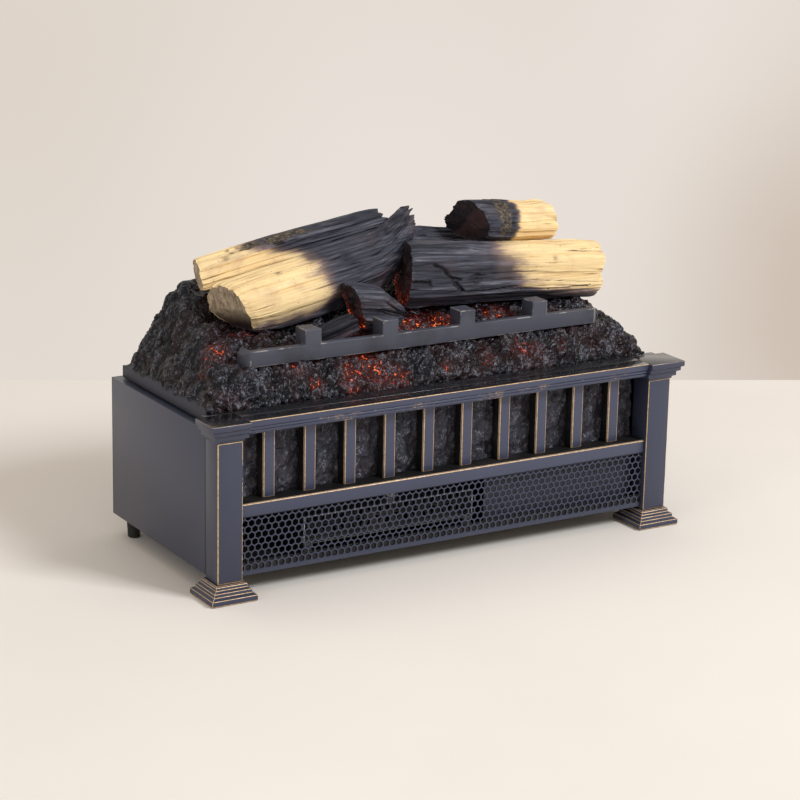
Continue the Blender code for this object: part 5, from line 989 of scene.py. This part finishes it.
def grain(log, x, angle, around):
    """Depth of the wood's grain, in metres out of the skin, and how deep in a groove the place is. Around is the
    section's circumference."""
    turned = angle + GRAIN_WANDER * noise.noise(Vector((x * WANDER_WAVES, 0, 0)) + log.seed)
    across = Vector((0, math.cos(turned), math.sin(turned)))
    swell, layer, split, line, thread, scale, chip = [
        noise.noise(Vector((x * along, 0, 0)) + across * round_about + sign * log.seed)
        for along, round_about, sign in GRAIN_WAVES
    ]
    plank = share_of(0.5 + PLANK_BORDER * layer)
    step_edge = 1.0 - abs(2.0 * plank - 1.0)
    deep = max(0.0, 1.0 - abs(split) * SPLIT_NARROW) * share_of(0.7 + 2.2 * scale)
    shallow = max(0.0, 1.0 - abs(line) * LINE_NARROW) * share_of(0.8 + 1.5 * scale)
    groove = min(1.0, deep + 0.50 * shallow + 0.35 * step_edge)
    depth = SWELL_HEIGHT * swell + PLANK_HEIGHT * (plank - 0.6)
    depth += (THREAD_HEIGHT * thread + CHIP_HEIGHT * chip) * log.crease
    depth -= (SPLIT_DEPTH * deep + LINE_DEPTH * shallow) * log.crease
    spot = Vector((x, (angle / (2 * math.pi)) * around))
    for share, degrees, reach, sunk in log.knots:
        centre = Vector((log.length * share, around * degrees / 360))
        away = (spot - centre).length / reach
        if away < KNOT_END:
            ring = math.exp(-away * away)
            depth -= sunk * ring * (1.0 + 0.35 * math.cos(away * KNOT_RINGS))
            groove = min(1.0, groove + 0.8 * ring)
    for line_shares, width, sunk in log.cracks:
        line = [Vector((log.length * share, around * degrees / 360)) for share, degrees in line_shares]
        waves = Vector((spot.x * CRACK_WAVES, spot.y * CRACK_WAVES, 0))
        ragged = width * (1.0 + CRACK_RAGGED * noise.noise(waves))
        away = away_from_line(spot, line) / ragged
        if away < 1.0:
            depth -= sunk * (1.0 - away * away)
            groove = 1.0
    # A log's soot value raises the groove value over the whole log: painted shade that darkens a log lying in shadow
    return depth, max(groove, log.soot * (0.6 + 0.8 * thread))


def bark_at(log, share, degrees):
    """How much of a place on a log is rough old bark, from 0 to 1."""
    most = 0.0
    for middle, facing, share_reach, degree_reach in log.bark:
        away = math.hypot((share - middle) / share_reach, (degrees - facing) / degree_reach)
        ragged = 0.9 * noise.noise(Vector((share * 30.0, degrees / 9.0, middle)))
        most = max(most, share_of((1.1 + ragged - away) * 2.5))
    return most


# Bark, frayed ends and cut faces
GRAIN_INSET = 0.7 * MM
BARK_HEIGHT = 1.1 * MM
BARK_WAVES = 190.0
FRAYED = 0.10
WOOD_ANGLE = 40
RING_STEP = 1.6 * MM
CORNER_STEP = 1.0 * MM
CAP_RINGS = 10
CAP_EDGE = 0.985
CAP_SINK = 0.5 * MM
CAP_ROUGH = 0.9 * MM
CAP_SAWN = 0.5 * MM
END_GLOW_FADE = 3.0


def end_char(log, side, height):
    """How charred a cut face is at a height over its middle, as a share of the log's height; on a cut face shaded
    below, the darker bottom is painted shade.
    """
    top, bottom = log.ends[side]
    return bottom + (top - bottom) * share_of(0.5 + 1.8 * height)


def close_end(log, shape, layers, rim, side):
    """A cut face over a rim: a sharp edge, then rings drawn in to the middle over a rough sawn surface."""
    outward = 1 if side else -1
    middle = sum((vertex.co for vertex in rim), Vector()) / len(rim)
    previous = rim
    for ring in range(CAP_RINGS):
        inward = CAP_EDGE * (1 - ring / CAP_RINGS)
        line = []
        for vertex in rim:
            place = middle.lerp(vertex.co, inward)
            rough = CAP_ROUGH * noise.noise(place * 120.0 + log.seed) + CAP_SAWN * noise.noise(place * 420.0)
            place.x += rough * (1 + 3 * log.end_glow) - outward * CAP_SINK
            line.append(shape.verts.new(place))
        for vertex in line:
            vertex[layers["cut"]] = 1.0
            vertex[layers["char"]] = end_char(log, side, (vertex.co.z - middle.z) / log.height)
            if side == 0:
                low = share_of(0.6 - 1.6 * (vertex.co.z - middle.z) / log.height)
                behind = share_of(0.25 + 2.0 * (vertex.co.y - middle.y) / log.depth)
                near_rim = (1 - ring / CAP_RINGS) ** END_GLOW_FADE
                vertex[layers["glow"]] = log.end_glow * near_rim * max(0.7 * low * low, behind * low)
        for corner in range(len(rim)):
            after = (corner + 1) % len(rim)
            shape.faces.new((previous[corner], previous[after], line[after], line[corner]))
        previous = line
    shape.faces.new(previous)


def make_log(log):
    """A log as rings of its section with bark, grain and frayed ends, closed by its cut faces."""
    shape = bmesh.new()
    layers = {key: shape.verts.layers.float.new(key) for key in ("char", "groove", "bark", "cut", "glow")}
    rings = max(24, int(log.length / RING_STEP))
    around = math.pi * (log.depth + log.height) / 2
    corners = max(40, int(around / CORNER_STEP))
    made = []
    for ring in range(rings + 1):
        share = ring / rings
        size, back, up, lean, skew = run_at(log.run, share)
        x = log.length * share
        line = []
        for corner in range(corners):
            angle = 2 * math.pi * corner / corners
            flat = section_point(log, angle, log.depth / 2 * size, log.height / 2 * size, x)
            depth, groove = grain(log, x, angle, around)
            bark = bark_at(log, share, math.degrees(angle))
            depth += BARK_HEIGHT * bark * noise.noise(Vector([BARK_WAVES * part for part in (x, flat.x, flat.y)]))
            out = flat.normalized() * (depth - GRAIN_INSET)
            turned = Vector((math.cos(angle), math.sin(angle), 0))
            frayed = max(0.0, 1 - share / FRAYED) * log.fray[0] - max(0.0, 1 - (1 - share) / FRAYED) * log.fray[1]
            frayed *= 0.5 + noise.noise(turned * 3.0 + log.seed) + 0.5 * noise.noise(turned * 9.0 + log.seed)
            y = flat.x + out.x
            z = flat.y + out.y
            slant = z * lean * (log.top_lean if z > 0 else 1.0) + y * skew
            vertex = shape.verts.new((x + frayed - slant, y + log.depth * back, z + log.height * up))
            vertex[layers["groove"]] = groove
            vertex[layers["bark"]] = bark
            vertex[layers["char"]] = log.char(share, flat.y / log.height)
            under = share_of(-2.2 * flat.y / log.height)
            vertex[layers["glow"]] = log.glow * under * groove
            line.append(vertex)
        made.append(line)
    for first, second in zip(made, made[1:]):
        for corner in range(corners):
            after = (corner + 1) % corners
            shape.faces.new((first[corner], first[after], second[after], second[corner]))
    close_end(log, shape, layers, made[0], 0)
    close_end(log, shape, layers, made[-1], 1)
    bmesh.ops.recalc_face_normals(shape, faces=shape.faces)
    piece = piece_from(shape, log.node + "_wood", [WOOD], WOOD_ANGLE)
    piece.matrix_world = log.matrix()
    settle(piece, "casing", log.node)


def fades(start, end, lean=0.0, low=0.0, high=1.0, under=0.0):
    """Char that grows from one share of the log to another; lean moves the border with height, and under adds
    char towards the log's underside."""

    def char(share, height):
        t = share_of((share + lean * height - start) / (end - start))
        grown = low + (high - low) * t * t * (3 - 2 * t)
        return min(1.0, grown + under * max(0.0, -height - 0.18) * 4.0)

    return char


BURNT = fades(-1.0, -0.5)
PALE_END = (0.0, 0.0)
BURNT_END = (1.0, 1.0)
# A pale cut face that darkens towards its bottom: painted shade where the bed shades its lower part
END_PAINTED_SHADE_BELOW = (0.0, 0.66)

LOGS = (
    Log(
        "log_front_left", (-0.746, 0.455, 0.825), (220, 56, 60), (5.4, 8.3), SPLIT_SECTION, (
            (0.0, 0.88, 0.0, 0.0, 0.60, 0.35), (0.03, 0.96, 0.0, 0.0, 0.56, 0.32), (0.20, 1.02, 0.0, 0.0, 0.10),
            (0.40, 1.02), (0.60, 0.98, 0.02), (0.75, 0.92, 0.04, 0.02), (0.84, 0.86, 0.06, 0.12),
            (0.93, 0.72, 0.06, 0.32), (1.0, 0.48, 0.06, 0.54),
        ), fades(0.32, 0.64, 0.10, under=0.8), (END_PAINTED_SHADE_BELOW, BURNT_END), 2.3,
        facets=((150, 0.86), (103, 0.94), (205, 0.90)), fray=(0.8 * MM, 7.0 * MM), top_lean=0.15,
        knots=((0.24, 118, 4.0 * MM, 0.5 * MM), (0.60, 125, 6.0 * MM, 1.0 * MM)),
    ),
    Log(
        "log_rear_left", (-0.757, 0.706, 1.130), (207, 44, 34), (0.8, 9.2), SLAB_SECTION, (
            (0.0, 0.95, 0.0, 0.0, 0.0, -0.30), (0.02, 1.0, 0.0, 0.0, 0.0, -0.28), (0.18, 1.0, 0.0, 0.03),
            (0.36, 0.99, 0.0, 0.05), (0.54, 1.02, 0.0, 0.04), (0.72, 1.0, 0.0, 0.02), (0.88, 1.02, 0.0, 0.02),
            (0.98, 1.0, 0.0, 0.0, 0.10), (1.0, 0.94, 0.0, 0.0, 0.12),
        ), fades(0.30, 0.66, 0.42), (PALE_END, BURNT_END), 5.1,
        facets=((158, 0.86), (95, 0.92)), fray=(0.8 * MM, 6.0 * MM), crease=1.2, shift=-5.0 * MM,
        knots=((0.13, 130, 5.0 * MM, 1.0 * MM),), bark=((0.40, 105, 0.20, 24), (0.26, 112, 0.05, 14)),
    ),
    Log(
        "log_front_right", (0.040, 0.455, 1.022), (221, 62, 67), (-1.0, -3.9), FLAT_FRONT_SECTION, (
            (0.0, 0.97, 0.0, 0.0, 0.0, -0.24), (0.02, 1.0, 0.0, 0.0, 0.0, -0.22), (0.20, 0.99), (0.38, 0.95),
            (0.56, 0.92), (0.74, 0.91), (0.90, 0.90, 0.0, 0.01), (0.98, 0.88, 0.0, 0.01, -0.06),
            (1.0, 0.84, 0.0, 0.0, -0.06),
        ), fades(0.80, 0.26, 0.20, under=0.9), (BURNT_END, PALE_END), 7.7,
        fray=(0.8 * MM, 3.0 * MM), end_glow=0.75,
        knots=((0.31, 184, 7.0 * MM, 1.8 * MM), (0.72, 150, 4.0 * MM, 0.8 * MM)),
        cracks=(
            (((0.01, 187), (0.075, 188)), 3.6 * MM, 2.6 * MM),
            (((0.10, 156), (0.14, 164), (0.17, 178), (0.22, 184)), 1.8 * MM, 2.4 * MM),
            (((0.19, 186), (0.22, 196), (0.24, 202)), 2.6 * MM, 2.2 * MM),
            (((0.24, 204), (0.36, 206), (0.52, 199)), 1.3 * MM, 1.6 * MM),
            (((0.55, 205), (0.70, 207), (0.92, 203)), 1.0 * MM, 1.6 * MM),
        ),
    ),
    Log(
        "log_rear_charred", (0.115, 0.733, 1.180), (130, 36, 56), (1.0, -8.0), ROUND_SECTION, (
            (0.0, 0.60), (0.04, 0.80), (0.25, 0.96), (0.50, 1.0), (0.75, 0.96), (0.95, 0.86), (1.0, 0.70),
        ), BURNT, (BURNT_END, BURNT_END), 9.4,
        facets=((140, 0.88), (80, 0.90)), crease=1.5, fray=(5.0 * MM, 3.0 * MM),
    ),
    Log(
        "log_stub", (0.355, 0.546, 1.520), (100, 50, 48), (1.6, -5.4), HALF_ROUND, (
            (0.0, 0.97, 0.0, 0.0, 0.30, 0.60), (0.04, 1.0, 0.0, 0.0, 0.28, 0.56), (0.32, 1.0, 0.0, 0.0, 0.0, 0.10),
            (0.45, 0.95, 0.0, -0.01), (0.66, 0.92, 0.0, -0.02), (0.84, 0.95, 0.0, 0.0, 0.10),
            (0.97, 0.92, 0.0, 0.0, 0.22), (1.0, 0.86, 0.0, 0.0, 0.22),
        ), fades(0.60, 0.40), (BURNT_END, PALE_END), 11.2,
        facets=((165, 0.90), (95, 0.93), (38, 0.68)), fray=(0.8 * MM, 2.5 * MM), shift=5.0 * MM,
        bark=((0.30, 150, 0.10, 70),),
        knots=((0.30, 140, 4.0 * MM, 1.4 * MM), (0.44, 165, 5.0 * MM, 1.6 * MM)),
    ),
    Log(
        "log_centre_chunk", (-0.272, 0.316, 0.804), (54, 32, 48), (-3.0, -9.0), BLOCK_SECTION, (
            (0.0, 0.92, 0.0, 0.0, 0.50, 0.20), (0.06, 0.98, 0.0, 0.0, 0.48, 0.20), (0.45, 0.92),
            (0.65, 0.76, 0.0, -0.06), (0.92, 0.52, 0.0, -0.12), (1.0, 0.38, 0.0, -0.14),
        ), BURNT, (BURNT_END, BURNT_END), 13.5, glow=0.4, end_glow=1.3, crease=1.3, shift=6.0 * MM,
    ),
    # The wedge lies in shade: its soot value paints that shade as darker grooves all over
    Log(
        "log_wedge", (-0.453, 0.262, 0.482), (48, 22, 22), (3.0, 15.0), BLOCK_SECTION, (
            (0.0, 0.50), (0.10, 0.75), (0.55, 1.0), (1.0, 0.90),
        ), BURNT, (BURNT_END, BURNT_END), 15.8, glow=0.3, crease=1.3, soot=1.6,
    ),
)


# Controls on the rear panel
def dress_controls():
    rounded_copy("control_plate", 0.4 * MM, [BLACK_PLASTIC])
    for name in ("power", "low_heat", "high_heat"):
        rounded_copy(name + "_rocker", 0.35 * MM, [BLACK_PLASTIC], body=name + "_switch")


# Stage, light and camera
def camera_frame():
    """The camera's right, up and backward directions."""
    azimuth = math.radians(CAMERA_AZIMUTH)
    elevation = math.radians(CAMERA_ELEVATION)
    roll = math.radians(CAMERA_ROLL)
    back = Vector((
        math.sin(azimuth) * math.cos(elevation), -math.cos(azimuth) * math.cos(elevation), math.sin(elevation)
    ))
    right = (-back).cross(Vector((0, 0, 1))).normalized()
    up = right.cross(-back).normalized()
    across = math.cos(roll) * right + math.sin(roll) * up
    upward = math.cos(roll) * up - math.sin(roll) * right
    return across, upward, back


def make_camera():
    across, upward, back = camera_frame()
    data = bpy.data.cameras.new("camera")
    data.sensor_width = SENSOR_WIDTH
    data.lens = FOCAL_PIXELS / IMAGE_PIXELS * SENSOR_WIDTH
    camera = scene_object("camera", data)
    matrix = Matrix((across, upward, back)).transposed().to_4x4()
    matrix.translation = CAMERA_TARGET + back * CAMERA_DISTANCE
    camera.matrix_world = matrix
    bpy.context.scene.camera = camera


def ray_towards(column, row):
    """The way from the camera to the photograph's pixel."""
    across, upward, back = camera_frame()
    middle = IMAGE_PIXELS / 2
    return (across * (column - middle) + upward * (middle - row) - back * FOCAL_PIXELS).normalized()


def floor_point(column, row):
    """Where the photograph's pixel falls on the floor."""
    start = CAMERA_TARGET + camera_frame()[2] * CAMERA_DISTANCE
    ray = ray_towards(column, row)
    return start - ray * (start.z / ray.z)


def make_stage():
    """A level sheet of pale paper that ends along the photograph's horizon."""
    left = floor_point(0, HORIZON_ROW)
    right = floor_point(IMAGE_PIXELS, HORIZON_ROW)
    along = (right - left).normalized()
    towards = Vector((along.y, -along.x, 0))
    middle = (left + right) / 2
    half = along * FLOOR_REACH
    deep = towards * 2 * FLOOR_REACH
    corners = (middle - half, middle + half, middle + half + deep, middle - half + deep)
    shape = bmesh.new()
    shape.faces.new([shape.verts.new((corner.x, corner.y, 0)) for corner in corners])
    bmesh.ops.recalc_face_normals(shape, faces=shape.faces)
    finish = Finish("floor_paper")
    mottle = finish.cloud(1.6, 4.0)
    darker = tuple(share * FLOOR_MOTTLE for share in FLOOR_COLOUR)
    material = finish.done(
        Base_Color=finish.mix(finish.step(mottle, 0.35, 0.65), darker, FLOOR_COLOUR), Roughness=0.9,
        Specular_IOR_Level=0.1,
    )
    floor = piece_from(shape, "floor", [material])


WALL_RIPPLE = 0.32
PATCH_END = 1.25

# Soft patches of painted light and painted shade on the wall: column and row in the photograph, reach in pixels,
# colour, strength
WALL_PATCHES = (
    ((0, 60), 340, WALL_SHADE, 0.22),
    ((400, 250), 300, WALL_BRIGHT, 0.85),
    ((720, 60), 170, WALL_BRIGHT, 0.80),
    ((870, 330), 230, WALL_SHADE, 0.80),
    ((860, 170), 200, WALL_SHADE, 0.40),
)


def make_world():
    """Even light all round; what is seen beyond the floor is a pale wall with soft patches of painted light and painted
    shade.
    """
    world = bpy.data.worlds.new("studio")
    bpy.context.scene.world = world
    world.use_nodes = True
    finish = Patterns(world.node_tree, "Generated")
    wall = WALL_COLOUR
    ripple = WALL_RIPPLE * (finish.cloud(9.0) - 0.5)
    for (column, row), reach, colour, strength in WALL_PATCHES:
        towards = {0: finish.here, 1: ray_towards(column, row)}
        away = finish.node("ShaderNodeVectorMath", {"operation": "DISTANCE"}, towards, "Value") * (FOCAL_PIXELS / reach)
        wall = finish.mix(finish.step(away + ripple, PATCH_END, 0.0) * strength, wall, colour)
    camera, glossy, through = [
        finish.node("ShaderNodeLightPath", {}, {}, f"Is {name} Ray") for name in ("Camera", "Glossy", "Transmission")
    ]
    seen = (camera + glossy + through).least(1.0)
    light = finish.node("ShaderNodeBackground", {}, {"Color": SKY_LIGHT, "Strength": SKY_STRENGTH})
    backdrop = finish.node("ShaderNodeBackground", {}, {"Color": wall, "Strength": 1.0})
    mixed = finish.node("ShaderNodeMixShader", {}, {0: seen, 1: light, 2: backdrop})
    finish.tree.links.new(mixed.socket, finish.tree.nodes["World Output"].inputs["Surface"])


def make_lamps():
    for name, place, size, watts, colour in LAMPS:
        data = bpy.data.lights.new(name, "AREA")
        data.size = size
        data.energy = watts
        data.color = colour
        lamp = scene_object(name, data)
        lamp.location = place
        lamp.rotation_euler = (LAMP_AIM - Vector(place)).to_track_quat("-Z", "Y").to_euler()


bpy.context.scene.view_settings.view_transform = "Standard"
make_camera()
make_world()
make_stage()
make_lamps()
finish_carried_over()
dress_frame()
make_grille()
noise.seed_set(SWIRL_SEED)
make_bed()
make_front_coals()
for each_log in LOGS:
    make_log(each_log)
dress_controls()

bpy.context.view_layer.update()
